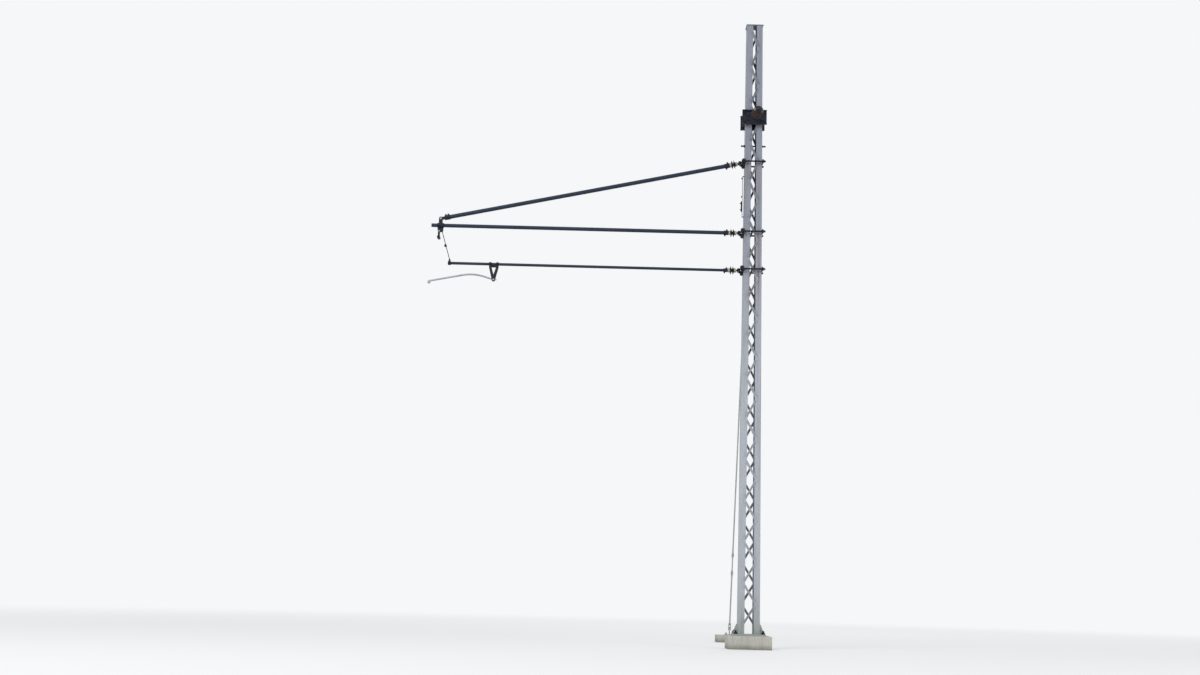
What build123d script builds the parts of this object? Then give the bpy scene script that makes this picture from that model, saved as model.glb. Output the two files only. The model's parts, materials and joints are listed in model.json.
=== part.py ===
from build123d import *
import math
import os

# Mast for a railway overhead line, in millimetres.
# Two channel legs, laced together on two sides, narrow towards the head. A three-tube
# cantilever swings on the track side, a line is anchored near the head and a stay
# behind the mast holds that pull.
# +X points away from the track, so the cantilever reaches towards -X. +Y runs along the
# track and +Z is up. The origin is the centre of the foundation's underside, at ground level.

# Running clearances and seats
PIN_CLEARANCE = 0.25
HOLE_CLEARANCE = 1.0
SOCKET_CLEARANCE = 0.3
SIDE_CLEARANCE = 0.5

# Foundation head and foot
FOUNDATION_MARGIN_X = 78.0
FOUNDATION_MARGIN_Y = 90.0
FOUNDATION_HEIGHT = 180.0
FOUNDATION_CHAMFER = 25.0
BASE_PLATE_THICKNESS = 25.0
ANCHOR_EDGE_X = 34.0
ANCHOR_EDGE_Y = 35.0
ANCHOR_OFFSET_X = 38.0
ANCHOR_OFFSET_Y = 55.0
ANCHOR_RADIUS = 13.5
ANCHOR_NUT_FLATS = 41.0
ANCHOR_NUT_HEIGHT = 22.0
ANCHOR_WASHER_RADIUS = 28.0
ANCHOR_WASHER_THICKNESS = 5.0
ANCHOR_END = 22.0
ANCHOR_DEPTH = 120.0
RIB_THICKNESS = 10.0
RIB_HEIGHT = 130.0
RIB_SPACING = 120.0
RIB_TOE = 12.0

# Legs: two channels with their webs outwards
MAST_TOP = 8900.0
FOOT_WIDTH = 300.0
HEAD_WIDTH = 222.0
LEG_DEPTH = 200.0
LEG_FLANGE = 86.0
LEG_WEB = 8.5
LEG_FLANGE_THICKNESS = 11.5
LEG_ROOT_RADIUS = 10.0
HEAD_PLATE_THICKNESS = 10.0
HEAD_PLATE_OVERHANG = 12.0

# Lacing: one zig-zag of angle bars on each face, the back one mirrored
LACING_FOOT_GAP = 120.0
LACING_HEAD_GAP = 70.0
LACING_BAYS = 30
LACING_LEG = 30.0
LACING_THICKNESS = 4.0
LACING_NODE_INSET = 26.0
LACING_LAP = 16.0
LACING_CROP = 34.0

# Levels: the lowest hinge above ground, then each one above the one below it
LOWER_LEVEL = 5280.0
MIDDLE_RISE = 545.0
UPPER_RISE = 1025.0
YOKE_RISE = 650.0
CROSS_BAR_DROP = 390.0
SIDE_BAR_RISE = 235.0

# Clamps round the mast: a bar across each web, drawn together by two long rods
CLAMP_BAR_HEIGHT = 60.0
CLAMP_BAR_THICKNESS = 12.0
CLAMP_ROD_RADIUS = 12.0
CLAMP_ROD_GAP = 6.0
CLAMP_BAR_END = 26.0
CLAMP_NUT_FLATS = 36.0
CLAMP_NUT_HEIGHT = 19.0
CLAMP_ROD_END = 16.0
CLAMP_SEAT = 0.3

# Hinges between mast and cantilever, on one upright axis
HINGE_OFFSET = 40.0
HINGE_PIN_RADIUS = 10.0
HINGE_HEAD_RADIUS = 17.0
HINGE_HEAD_HEIGHT = 9.0
BRACKET_HEIGHT = 140.0
BRACKET_WIDTH = 90.0
BRACKET_PLATE = 10.0
EAR_THICKNESS = 12.0
EAR_RADIUS = 24.0
GUSSET_THICKNESS = 10.0
GUSSET_TOE = 10.0
TONGUE_THICKNESS = 20.0
TONGUE_RADIUS = 22.0
NECK_WIDTH = 26.0

# Cantilever insulators, measured outwards from the hinge axis
CAP_START = 38.0
CAP_LENGTH = 26.0
CAP_RADIUS = 30.0
CAP_ROOT_RADIUS = 16.0
CAP_LAP = 14.0
CORE_RADIUS = 23.0
SHED_RADIUS = 62.0
SHED_COUNT = 2
SHED_PITCH = 34.0
SHED_LIP = 4.0
SHED_ROOT = 13.0
SHED_TO_CAP = 3.0
TUBE_SOCKET_LENGTH = 62.0
TUBE_SOCKET_WALL = 6.0

# Cantilever tubes
STAY_TUBE_RADIUS = 29.0
BRACKET_TUBE_RADIUS = 26.5
REGISTRATION_TUBE_RADIUS = 20.0
TUBE_WALL = 4.0
TIP_REACH = 4260.0
BRACKET_TUBE_OVERHANG = 130.0
REGISTRATION_TUBE_OVERHANG = 23.0
STAY_PIN_RISE = 100.0

# Casting that joins the stay tube to the bracket tube
COLLAR_WALL = 9.0
TIP_COLLAR_LENGTH = 92.0
TIP_EAR_THICKNESS = 10.0
TIP_EAR_RADIUS = 26.0
TIP_PIN_RADIUS = 9.0
TIP_TONGUE_THICKNESS = 16.0
TIP_TONGUE_LENGTH = 52.0
TIP_TONGUE_RADIUS = 21.0
TIP_SOCKET_LENGTH = 80.0
TIP_SOCKET_WALL = 6.0
TIP_LUG_THICKNESS = 12.0
TIP_LUG_WIDTH = 82.0
TIP_LUG_DROP = 98.0

# Clamp that carries the upper wire under the tip
MESSENGER_OFFSET = -20.0
MESSENGER_DROP = 178.0
MESSENGER_WIRE_RADIUS = 6.5
SADDLE_LENGTH = 110.0
SADDLE_WIDTH = 40.0
SADDLE_HEIGHT = 34.0
SUSPENSION_PIN_RADIUS = 7.0
SUSPENSION_PIN_DROP = 82.0
CHEEK_THICKNESS = 7.0
CHEEK_WIDTH = 28.0

# Taut rod that carries the outer end of the lowest tube
HANGER_RADIUS = 5.0
HANGER_EYE_RADIUS = 13.0
HANGER_EYE_THICKNESS = 9.0
HANGER_PIN_RADIUS = 5.5
HANGER_PIN_OFFSET = 24.0
HANGER_COLLAR_OFFSET = 148.0
HANGER_COLLAR_LENGTH = 38.0
HANGER_LUG_RISE = 48.0
HANGER_LUG_THICKNESS = 10.0

# Drop bracket and steady arm
DROP_OFFSET = 780.0
DROP_DEPTH = 224.0
DROP_TOP_WIDTH = 136.0
DROP_FOOT_RADIUS = 24.0
DROP_CHEEK_THICKNESS = 7.0
DROP_CHEEK_GAP = 23.0
DROP_COLLAR_LENGTH = 34.0
DROP_WINDOW_MARGIN = 24.0
STEADY_PIN_RADIUS = 8.0
STEADY_EYE_RADIUS = 16.0
STEADY_EYE_THICKNESS = 20.0
STEADY_NECK_LENGTH = 50.0
STEADY_NECK_HEIGHT = 20.0
STEADY_TUBE_RADIUS = 13.0
STEADY_TUBE_WALL = 3.0
STEADY_BEND_RADIUS = 620.0
STEADY_CREST_REACH = 282.0
STEADY_CREST_RISE = 87.0
STEADY_REACH = 900.0
STEADY_END_DROP = 38.0
HEEL_LENGTH = 46.0
HEEL_HEIGHT = 16.0
HEEL_WIDTH = 14.0
STOP_RADIUS = 6.0
STOP_OFFSET = 20.0
CONTACT_WIRE_RADIUS = 6.0
CLIP_LENGTH = 60.0
CLIP_WIDTH = 34.0
CLIP_HEIGHT = 30.0
CLIP_STEM_RADIUS = 8.0
CLIP_DROP = 34.0
CLIP_KNUCKLE = 22.0
CLIP_GAP = 4.0

# Anchoring yoke near the head
YOKE_WIDTH = 350.0
YOKE_HEIGHT = 210.0
YOKE_PLATE = 14.0
YOKE_FLANGE = 28.0
YOKE_FOOT_WIDTH = 34.0
YOKE_FOOT_HEIGHT = 150.0
YOKE_FACE_GAP = 4.0
YOKE_BOLT_RADIUS = 10.0
YOKE_BOLT_INSET = 24.0
YOKE_NUT_FLATS = 30.0
YOKE_NUT_HEIGHT = 16.0
YOKE_BOLT_END = 12.0
YOKE_LUG_THICKNESS = 18.0
YOKE_LUG_RADIUS = 30.0
YOKE_LUG_REACH = 62.0

# String that holds the anchored line, pulled slightly downwards
STRING_FALL = 9.0
LINK_LENGTH = 120.0
LINK_WIDTH = 44.0
LINK_THICKNESS = 10.0
LINK_PIN_RADIUS = 10.0
STRING_CORE_RADIUS = 32.0
STRING_SHED_RADIUS = 74.0
STRING_SHED_COUNT = 5
STRING_SHED_PITCH = 62.0
STRING_SHED_TO_CAP = 13.0
STRING_CAP_RADIUS = 42.0
STRING_CAP_ROOT_RADIUS = 25.0
STRING_CAP_LENGTH = 52.0
STRING_CAP_LAP = 28.0
STRING_EYE_RADIUS = 26.0
STRING_NECK_WIDTH = 42.0
STRING_EYE_OFFSET = 48.0
STRING_EYE_BORE = 11.0

# Back stay
STAY_ANCHOR_Y = 3000.0
STAY_ROD_RADIUS = 11.0
STAY_FORK_LENGTH = 74.0
STAY_FORK_WIDTH = 40.0
STAY_PIN_RADIUS = 9.0
STAY_EYE_HEIGHT = 96.0
STAY_BLOCK_SIZE = 420.0
STAY_BLOCK_HEIGHT = 110.0
STAY_EYE_PLATE = 16.0
STAY_EYE_RADIUS = 28.0
STAY_EYE_BASE = 150.0
STAY_EYE_BASE_THICKNESS = 12.0
TURNBUCKLE_START = 900.0
TURNBUCKLE_LENGTH = 320.0
TURNBUCKLE_WIDTH = 58.0
TURNBUCKLE_BAR_RADIUS = 7.0
TURNBUCKLE_BOSS_RADIUS = 19.0
TURNBUCKLE_BOSS_LENGTH = 42.0
TURNBUCKLE_ENTRY = 70.0

# Small pieces on the legs
CROSS_BAR_RADIUS = 11.0
CROSS_BAR_LENGTH = 356.0
CROSS_NUT_FLATS = 34.0
CROSS_NUT_HEIGHT = 15.0
SIDE_BAR_LENGTH = 600.0
SIDE_BAR_WIDTH = 50.0
SIDE_BAR_THICKNESS = 6.0
SIDE_BAR_STANDOFF = 30.0
SIDE_CLAMP_RISE = 80.0
SIDE_CLAMP_LENGTH = 150.0
SIDE_CLAMP_WIDTH = 34.0
SIDE_CLAMP_THICKNESS = 16.0

# Worked out from the sizes above
ANCHOR_SPACING_X = FOOT_WIDTH + 2 * ANCHOR_OFFSET_X
ANCHOR_SPACING_Y = LEG_DEPTH + 2 * ANCHOR_OFFSET_Y
BASE_PLATE_WIDTH = ANCHOR_SPACING_X + 2 * ANCHOR_EDGE_X
BASE_PLATE_DEPTH = ANCHOR_SPACING_Y + 2 * ANCHOR_EDGE_Y
FOUNDATION_WIDTH = BASE_PLATE_WIDTH + 2 * FOUNDATION_MARGIN_X
FOUNDATION_DEPTH = BASE_PLATE_DEPTH + 2 * FOUNDATION_MARGIN_Y
LEG_FOOT = FOUNDATION_HEIGHT + BASE_PLATE_THICKNESS
LEG_LEAN = (FOOT_WIDTH - HEAD_WIDTH) / 2 / (MAST_TOP - LEG_FOOT)
FLANGE_FACE = LEG_DEPTH / 2
LACING_START = LEG_FOOT + LACING_FOOT_GAP
LACING_PITCH = (MAST_TOP - LACING_HEAD_GAP - LACING_START) / LACING_BAYS
MIDDLE_LEVEL = LOWER_LEVEL + MIDDLE_RISE
UPPER_LEVEL = MIDDLE_LEVEL + UPPER_RISE
YOKE_LEVEL = UPPER_LEVEL + YOKE_RISE
CROSS_BAR_LEVEL = YOKE_LEVEL - CROSS_BAR_DROP
SIDE_BAR_BOTTOM = MIDDLE_LEVEL + SIDE_BAR_RISE
SIDE_BAR_TOP = SIDE_BAR_BOTTOM + SIDE_BAR_LENGTH
HINGE_X = -FOOT_WIDTH / 2 - HINGE_OFFSET
TIP_X = HINGE_X - TIP_REACH
HANGER_COLLAR_X = TIP_X + HANGER_COLLAR_OFFSET
DROP_X = TIP_X + DROP_OFFSET
ROD_Y = FLANGE_FACE + LACING_LEG + CLAMP_ROD_GAP + CLAMP_ROD_RADIUS
EAR_INNER = TONGUE_THICKNESS / 2 + SIDE_CLEARANCE
EAR_OUTER = EAR_INNER + EAR_THICKNESS
PORCELAIN_LENGTH = (SHED_COUNT - 1) * SHED_PITCH + 2 * (SHED_ROOT + SHED_TO_CAP + CAP_LAP)
PORCELAIN_START = CAP_START + CAP_LENGTH - CAP_LAP
PORCELAIN_END = PORCELAIN_START + PORCELAIN_LENGTH
OUTER_CAP_END = PORCELAIN_END - CAP_LAP + CAP_LENGTH
TUBE_START = OUTER_CAP_END + SOCKET_CLEARANCE
STAY_PIN_Z = MIDDLE_LEVEL + STAY_PIN_RISE
STAY_TUBE_SPAN = math.hypot(TIP_REACH, UPPER_LEVEL - STAY_PIN_Z)
STAY_TUBE_TILT = math.degrees(math.atan2(UPPER_LEVEL - STAY_PIN_Z, TIP_REACH))
BRACKET_TUBE_LENGTH = TIP_REACH + BRACKET_TUBE_OVERHANG
REGISTRATION_TUBE_LENGTH = TIP_REACH - HANGER_COLLAR_OFFSET + REGISTRATION_TUBE_OVERHANG
STEADY_PIN_Z = LOWER_LEVEL - DROP_DEPTH
STEADY_CREST = (DROP_X - STEADY_CREST_REACH, 0, STEADY_PIN_Z + STEADY_CREST_RISE)
STEADY_END = (DROP_X - STEADY_REACH, 0, STEADY_PIN_Z - STEADY_END_DROP)
YOKE_FACE = FLANGE_FACE + LACING_LEG + YOKE_FACE_GAP
STRING_SHED_SPAN = (STRING_SHED_COUNT - 1) * STRING_SHED_PITCH
STRING_PORCELAIN_LENGTH = STRING_SHED_SPAN + 2 * (SHED_ROOT + STRING_SHED_TO_CAP + STRING_CAP_LAP)

LEVELS = {"upper": UPPER_LEVEL, "middle": MIDDLE_LEVEL, "lower": LOWER_LEVEL}
TILTS = {"upper": STAY_TUBE_TILT, "middle": 0.0, "lower": 0.0}
TUBE_RADII = {
    "upper": STAY_TUBE_RADIUS,
    "middle": BRACKET_TUBE_RADIUS,
    "lower": REGISTRATION_TUBE_RADIUS,
}


def leg_face(z):
    """Distance from the mast's centre to a leg's outer face at height z."""
    return FOOT_WIDTH / 2 - LEG_LEAN * (z - LEG_FOOT)


def block(x, y, z):
    """Box between the low and high ends given for each axis."""
    centre = [(low + high) / 2 for low, high in (x, y, z)]
    size = [high - low for low, high in (x, y, z)]
    return Pos(*centre) * Box(*size)


def upright(points, y_low, y_high):
    """Plate drawn as (x, z) points and carried along Y."""
    face = make_face(Polyline(*[(x, y_low, z) for x, z in points], close=True))
    return Solid.extrude(face.face(), Vector(0, y_high - y_low, 0))


def bar(start, end, radius, bore=0.0):
    """Round bar, or a tube where it has a bore, from one point to another."""
    line = Vector(*end) - Vector(*start)
    place = Plane(origin=start, z_dir=line).location
    seat = (Align.CENTER, Align.CENTER, Align.MIN)
    solid = Cylinder(radius, line.length, align=seat)
    if bore > 0:
        solid -= Cylinder(bore, line.length, align=seat)
    return place * solid


def nut(start, direction, flats, height):
    """Hexagon nut on a point, standing along a direction."""
    outline = RegularPolygon(flats / 2, 6, major_radius=False)
    return Plane(origin=start, z_dir=direction).location * extrude(outline, height)


def along_plate(plate, start, end, radius, thickness):
    """Flat link with round ends between two points that lie in the given plane."""
    a, b = plate.to_local_coords(Vector(*start)), plate.to_local_coords(Vector(*end))
    outline = SlotCenterToCenter((b - a).length, 2 * radius)
    turn = math.degrees(math.atan2(b.Y - a.Y, b.X - a.X))
    middle = (a + b) * 0.5
    flat = Pos(middle.X, middle.Y, 0) * Rot(0, 0, turn) * outline
    return plate.location * extrude(flat, thickness / 2, both=True)


def joined(pieces):
    """One solid from pieces that run into each other."""
    return pieces[0].fuse(*pieces[1:])


def following_leg(side, z_low, z_high, inner, outer, y_low, y_high):
    """Plate that lies along a leaning leg, between two distances off its face."""
    points = [
        (side * (leg_face(z_low) + inner), z_low),
        (side * (leg_face(z_low) + outer), z_low),
        (side * (leg_face(z_high) + outer), z_high),
        (side * (leg_face(z_high) + inner), z_high),
    ]
    return upright(points, y_low, y_high)


def foundation():
    """Concrete head with chamfered top edges and a pocket for each anchor bolt."""
    body = block(
        (-FOUNDATION_WIDTH / 2, FOUNDATION_WIDTH / 2),
        (-FOUNDATION_DEPTH / 2, FOUNDATION_DEPTH / 2),
        (0, FOUNDATION_HEIGHT),
    )
    top = body.faces().sort_by(Axis.Z)[-1]
    body = chamfer(top.edges(), FOUNDATION_CHAMFER)
    for x, y in anchor_places():
        pocket = FOUNDATION_HEIGHT - ANCHOR_DEPTH
        body -= bar((x, y, pocket), (x, y, FOUNDATION_HEIGHT), ANCHOR_RADIUS + SOCKET_CLEARANCE)
    return body


def anchor_places():
    """Plan positions of the four anchor bolts."""
    return [
        (sx * ANCHOR_SPACING_X / 2, sy * ANCHOR_SPACING_Y / 2) for sx in (-1, 1) for sy in (-1, 1)
    ]


def base_plate():
    """Foot plate with bolt holes and welded ribs that stand against the legs."""
    plate = block(
        (-BASE_PLATE_WIDTH / 2, BASE_PLATE_WIDTH / 2),
        (-BASE_PLATE_DEPTH / 2, BASE_PLATE_DEPTH / 2),
        (FOUNDATION_HEIGHT, LEG_FOOT),
    )
    for x, y in anchor_places():
        plate -= bar(
            (x, y, FOUNDATION_HEIGHT), (x, y, LEG_FOOT), ANCHOR_RADIUS + HOLE_CLEARANCE
        )
    ribs = [foot_rib(side, y) for side in (-1, 1) for y in (-RIB_SPACING / 2, RIB_SPACING / 2)]
    return joined([plate] + ribs)


def foot_rib(side, y):
    """Three-cornered rib between the foot plate and a leg's web."""
    top = LEG_FOOT + RIB_HEIGHT
    points = [
        (side * leg_face(LEG_FOOT), LEG_FOOT),
        (side * (BASE_PLATE_WIDTH / 2 - RIB_TOE), LEG_FOOT),
        (side * (BASE_PLATE_WIDTH / 2 - RIB_TOE), LEG_FOOT + RIB_TOE),
        (side * (leg_face(top) + RIB_TOE), top),
        (side * leg_face(top), top),
    ]
    return upright(points, y - RIB_THICKNESS / 2, y + RIB_THICKNESS / 2)


def anchor_bolt(x, y):
    """Stud from the foundation with its washer and nut on the foot plate."""
    washer_top = LEG_FOOT + ANCHOR_WASHER_THICKNESS
    nut_top = washer_top + ANCHOR_NUT_HEIGHT
    foot = FOUNDATION_HEIGHT - ANCHOR_DEPTH
    return joined([
        bar((x, y, foot), (x, y, nut_top + ANCHOR_END), ANCHOR_RADIUS),
        bar((x, y, LEG_FOOT), (x, y, washer_top), ANCHOR_WASHER_RADIUS),
        nut((x, y, washer_top), (0, 0, 1), ANCHOR_NUT_FLATS, ANCHOR_NUT_HEIGHT),
    ])


def leg(side):
    """Channel that leans inwards, its web outwards and its flanges towards the other leg."""
    web = FOOT_WIDTH / 2
    inner = web - LEG_WEB
    toe = web - LEG_FLANGE
    shelf = FLANGE_FACE - LEG_FLANGE_THICKNESS
    points = [
        (web, -FLANGE_FACE), (web, FLANGE_FACE), (toe, FLANGE_FACE), (toe, shelf),
        (inner, shelf), (inner, -shelf), (toe, -shelf), (toe, -FLANGE_FACE),
    ]
    outline = make_face(Polyline(*[(side * x, y, LEG_FOOT) for x, y in points], close=True))
    roots = [v for v in outline.vertices() if math.isclose(abs(v.X), inner)]
    outline = fillet(roots, LEG_ROOT_RADIUS)
    height = MAST_TOP - LEG_FOOT
    solid = Solid.extrude(outline.face(), Vector(-side * LEG_LEAN * height, 0, height))
    hole = bar(
        (side * (leg_face(CROSS_BAR_LEVEL) - LEG_FLANGE), 0, CROSS_BAR_LEVEL),
        (side * FOOT_WIDTH, 0, CROSS_BAR_LEVEL),
        CROSS_BAR_RADIUS + PIN_CLEARANCE,
    )
    return Part() + solid - hole


def lacing_points(first_side):
    """Corners of one zig-zag from the foot up, as (x, z)."""
    points = []
    for step in range(LACING_BAYS + 1):
        z = LACING_START + step * LACING_PITCH
        side = first_side if step % 2 == 0 else -first_side
        points.append((side * (leg_face(z) - LEG_FLANGE + LACING_NODE_INSET), z))
    return points


def lacing_bar(start, end, face):
    """Angle bar: one leg flat on the flanges, the other standing out along its upper edge."""
    along = Vector(end[0] - start[0], 0, end[1] - start[1])
    place = Plane(
        origin=(start[0], face * FLANGE_FACE, start[1]), x_dir=along, z_dir=(0, face, 0)
    )
    upper = 1 if place.y_dir.Z > 0 else -1
    edge = sorted((upper * LACING_LEG / 2, upper * (LACING_LEG / 2 - LACING_THICKNESS)))
    flat = block(
        (-LACING_LAP, along.length + LACING_LAP),
        (-LACING_LEG / 2, LACING_LEG / 2),
        (0, LACING_THICKNESS),
    )
    standing = block((LACING_CROP, along.length - LACING_CROP), edge, (0, LACING_LEG))
    return place.location * (flat + standing)


def lacing(face):
    """All angle bars of one side of the mast, welded where they meet."""
    points = lacing_points(face)
    return joined([lacing_bar(a, b, face) for a, b in zip(points, points[1:])])


def head_plate():
    """Plate that closes the top of the legs."""
    half = HEAD_WIDTH / 2 + HEAD_PLATE_OVERHANG
    depth = FLANGE_FACE + HEAD_PLATE_OVERHANG
    return block((-half, half), (-depth, depth), (MAST_TOP, MAST_TOP + HEAD_PLATE_THICKNESS))


def clamp_bar(side, level):
    """Flat bar across a leg's web with a hole for each long rod."""
    low, high = level - CLAMP_BAR_HEIGHT / 2, level + CLAMP_BAR_HEIGHT / 2
    reach = ROD_Y + CLAMP_BAR_END
    solid = following_leg(side, low, high, 0, CLAMP_BAR_THICKNESS, -reach, reach)
    for y in (-ROD_Y, ROD_Y):
        inner = side * (leg_face(level) - CLAMP_BAR_THICKNESS)
        outer = side * (leg_face(level) + 3 * CLAMP_BAR_THICKNESS)
        solid = solid - bar((inner, y, level), (outer, y, level), CLAMP_ROD_RADIUS + HOLE_CLEARANCE)
    return solid


def clamp_rod(y, level):
    """Long rod beside the mast with a nut outside each clamp bar."""
    seat = leg_face(level - CLAMP_BAR_HEIGHT / 2) + CLAMP_BAR_THICKNESS + CLAMP_SEAT
    end = seat + CLAMP_NUT_HEIGHT + CLAMP_ROD_END
    return joined([
        bar((-end, y, level), (end, y, level), CLAMP_ROD_RADIUS),
        nut((seat, y, level), (1, 0, 0), CLAMP_NUT_FLATS, CLAMP_NUT_HEIGHT),
        nut((-seat, y, level), (-1, 0, 0), CLAMP_NUT_FLATS, CLAMP_NUT_HEIGHT),
    ])


def hinge_bracket(level):
    """Back plate with two ears round the hinge axis, each stiffened by a gusset."""
    half = BRACKET_HEIGHT / 2
    inner = CLAMP_BAR_THICKNESS
    plate = following_leg(
        -1, level - half, level + half, inner, inner + BRACKET_PLATE,
        -BRACKET_WIDTH / 2, BRACKET_WIDTH / 2,
    )
    back = -(leg_face(level + half) + inner + BRACKET_PLATE / 2)
    pieces = [plate]
    for way in (-1, 1):
        pieces.append(bracket_ear(level, way, back))
        pieces.append(bracket_gusset(level, way, back))
    solid = joined(pieces)
    bore = HINGE_PIN_RADIUS + PIN_CLEARANCE
    return solid - bar((HINGE_X, 0, level - half), (HINGE_X, 0, level + half), bore)


def bracket_ear(level, way, back):
    """Flat ear that narrows from the back plate to a round end on the hinge axis."""
    z = level + way * EAR_INNER
    tangent = EAR_RADIUS
    outline = Polyline(
        (back, -BRACKET_WIDTH / 2), (HINGE_X, -tangent), (HINGE_X, tangent),
        (back, BRACKET_WIDTH / 2), close=True,
    )
    shape = make_face(outline) + Pos(HINGE_X, 0) * Circle(EAR_RADIUS)
    return Pos(0, 0, z) * extrude(shape, way * EAR_THICKNESS)


def bracket_gusset(level, way, back):
    """Three-cornered rib from the back plate down to an ear."""
    root = level + way * EAR_OUTER
    points = [
        (back, root),
        (back, level + way * BRACKET_HEIGHT / 2),
        (HINGE_X + HINGE_HEAD_RADIUS + 2 * SIDE_CLEARANCE + GUSSET_TOE, root + way * GUSSET_TOE),
        (HINGE_X + HINGE_HEAD_RADIUS + 2 * SIDE_CLEARANCE, root),
    ]
    return upright(points, -GUSSET_THICKNESS / 2, GUSSET_THICKNESS / 2)


def hinge_pin(level):
    """Pin through both ears, with a head above and a collar below."""
    top, bottom = level + EAR_OUTER, level - EAR_OUTER
    return joined([
        bar((HINGE_X, 0, bottom), (HINGE_X, 0, top), HINGE_PIN_RADIUS),
        bar((HINGE_X, 0, top), (HINGE_X, 0, top + HINGE_HEAD_HEIGHT), HINGE_HEAD_RADIUS),
        bar((HINGE_X, 0, bottom - HINGE_HEAD_HEIGHT), (HINGE_X, 0, bottom), HINGE_HEAD_RADIUS),
    ])


def turned(points):
    """Solid of revolution about the X axis from (distance, radius) points."""
    face = make_face(Polyline(*points, close=True))
    return revolve(face, Axis.X)


def porcelain(start, length, core, shed, count, pitch):
    """Insulator body: a core with evenly spaced sheds, each with a rounded lip."""
    middle = start + length / 2
    points = [(start, 0), (start, core)]
    for index in range(count):
        centre = middle + (index - (count - 1) / 2) * pitch
        points += [
            (centre - SHED_ROOT, core),
            (centre - SHED_LIP, shed - SHED_LIP),
            (centre - SHED_LIP / 2, shed),
            (centre + SHED_LIP / 2, shed),
            (centre + SHED_LIP, shed - SHED_LIP),
            (centre + SHED_ROOT, core),
        ]
    points += [(start + length, core), (start + length, 0)]
    return turned(points)


def cup(start, end, floor, inner, outer):
    """Metal cap closed at one end: outside from start to end, with a socket beyond its floor."""
    return turned([
        (start, 0), (start, CAP_ROOT_RADIUS), (floor, outer), (end, outer), (end, inner), (floor, inner),
        (floor, 0),
    ])


def outwards(shape, level, tilt):
    """Moves a shape drawn outwards along X from the hinge axis to its level and tilt."""
    return Pos(HINGE_X, 0, level) * Rot(0, -tilt, 0) * Rot(0, 0, 180) * shape


def hinge_fitting(name):
    """Eye on the hinge pin with the cap that holds the insulator's inner end."""
    tongue = extrude(Circle(TONGUE_RADIUS), TONGUE_THICKNESS / 2, both=True)
    neck = block(
        (0, CAP_START + CAP_RADIUS / 4),
        (-NECK_WIDTH / 2, NECK_WIDTH / 2),
        (-TONGUE_THICKNESS / 2, TONGUE_THICKNESS / 2),
    )
    cap = cup(
        CAP_START, CAP_START + CAP_LENGTH, PORCELAIN_START, CORE_RADIUS + SOCKET_CLEARANCE, CAP_RADIUS
    )
    level = LEVELS[name]
    solid = joined([
        outwards(tongue, level, 0),
        outwards(neck, level, TILTS[name]),
        outwards(cap, level, TILTS[name]),
    ])
    reach = 2 * CAP_START
    between_ears = block(
        (HINGE_X - reach, HINGE_X + reach),
        (-reach, reach),
        (level - TONGUE_THICKNESS / 2, level + TONGUE_THICKNESS / 2),
    )
    beside_ears = block(
        (HINGE_X - EAR_RADIUS - SIDE_CLEARANCE, HINGE_X + reach),
        (-reach, reach),
        (level - reach, level + reach),
    )
    hole = bar(
        (HINGE_X, 0, level - reach), (HINGE_X, 0, level + reach), HINGE_PIN_RADIUS + PIN_CLEARANCE
    )
    return joined([solid & between_ears, solid - beside_ears]) - hole


def tube_fitting(name):
    """Cap on the insulator's outer end, with the socket that the tube is pushed into."""
    radius = TUBE_RADII[name]
    start = PORCELAIN_END - CAP_LAP
    inner = CORE_RADIUS + SOCKET_CLEARANCE
    bore = radius + SOCKET_CLEARANCE
    outer = radius + TUBE_SOCKET_WALL
    end = OUTER_CAP_END + TUBE_SOCKET_LENGTH
    solid = turned([
        (start, inner), (start, CAP_RADIUS), (OUTER_CAP_END - TUBE_SOCKET_WALL, CAP_RADIUS),
        (OUTER_CAP_END, outer), (end, outer), (end, bore), (OUTER_CAP_END, bore),
        (OUTER_CAP_END, 0), (PORCELAIN_END, 0), (PORCELAIN_END, inner),
    ])
    return outwards(solid, LEVELS[name], TILTS[name])


def cantilever_insulator(name):
    """Two-shed insulator between the hinge fitting and the tube fitting."""
    body = porcelain(PORCELAIN_START, PORCELAIN_LENGTH, CORE_RADIUS, SHED_RADIUS, SHED_COUNT, SHED_PITCH)
    return outwards(body, LEVELS[name], TILTS[name])


def tube(name, length):
    """Cantilever tube, open towards the mast and closed at its outer end."""
    radius = TUBE_RADII[name]
    bore = radius - TUBE_WALL
    solid = turned([
        (TUBE_START, bore), (TUBE_START, radius), (length, radius), (length, 0),
        (length - TUBE_WALL, 0), (length - TUBE_WALL, bore),
    ])
    return outwards(solid, LEVELS[name], TILTS[name])


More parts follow.
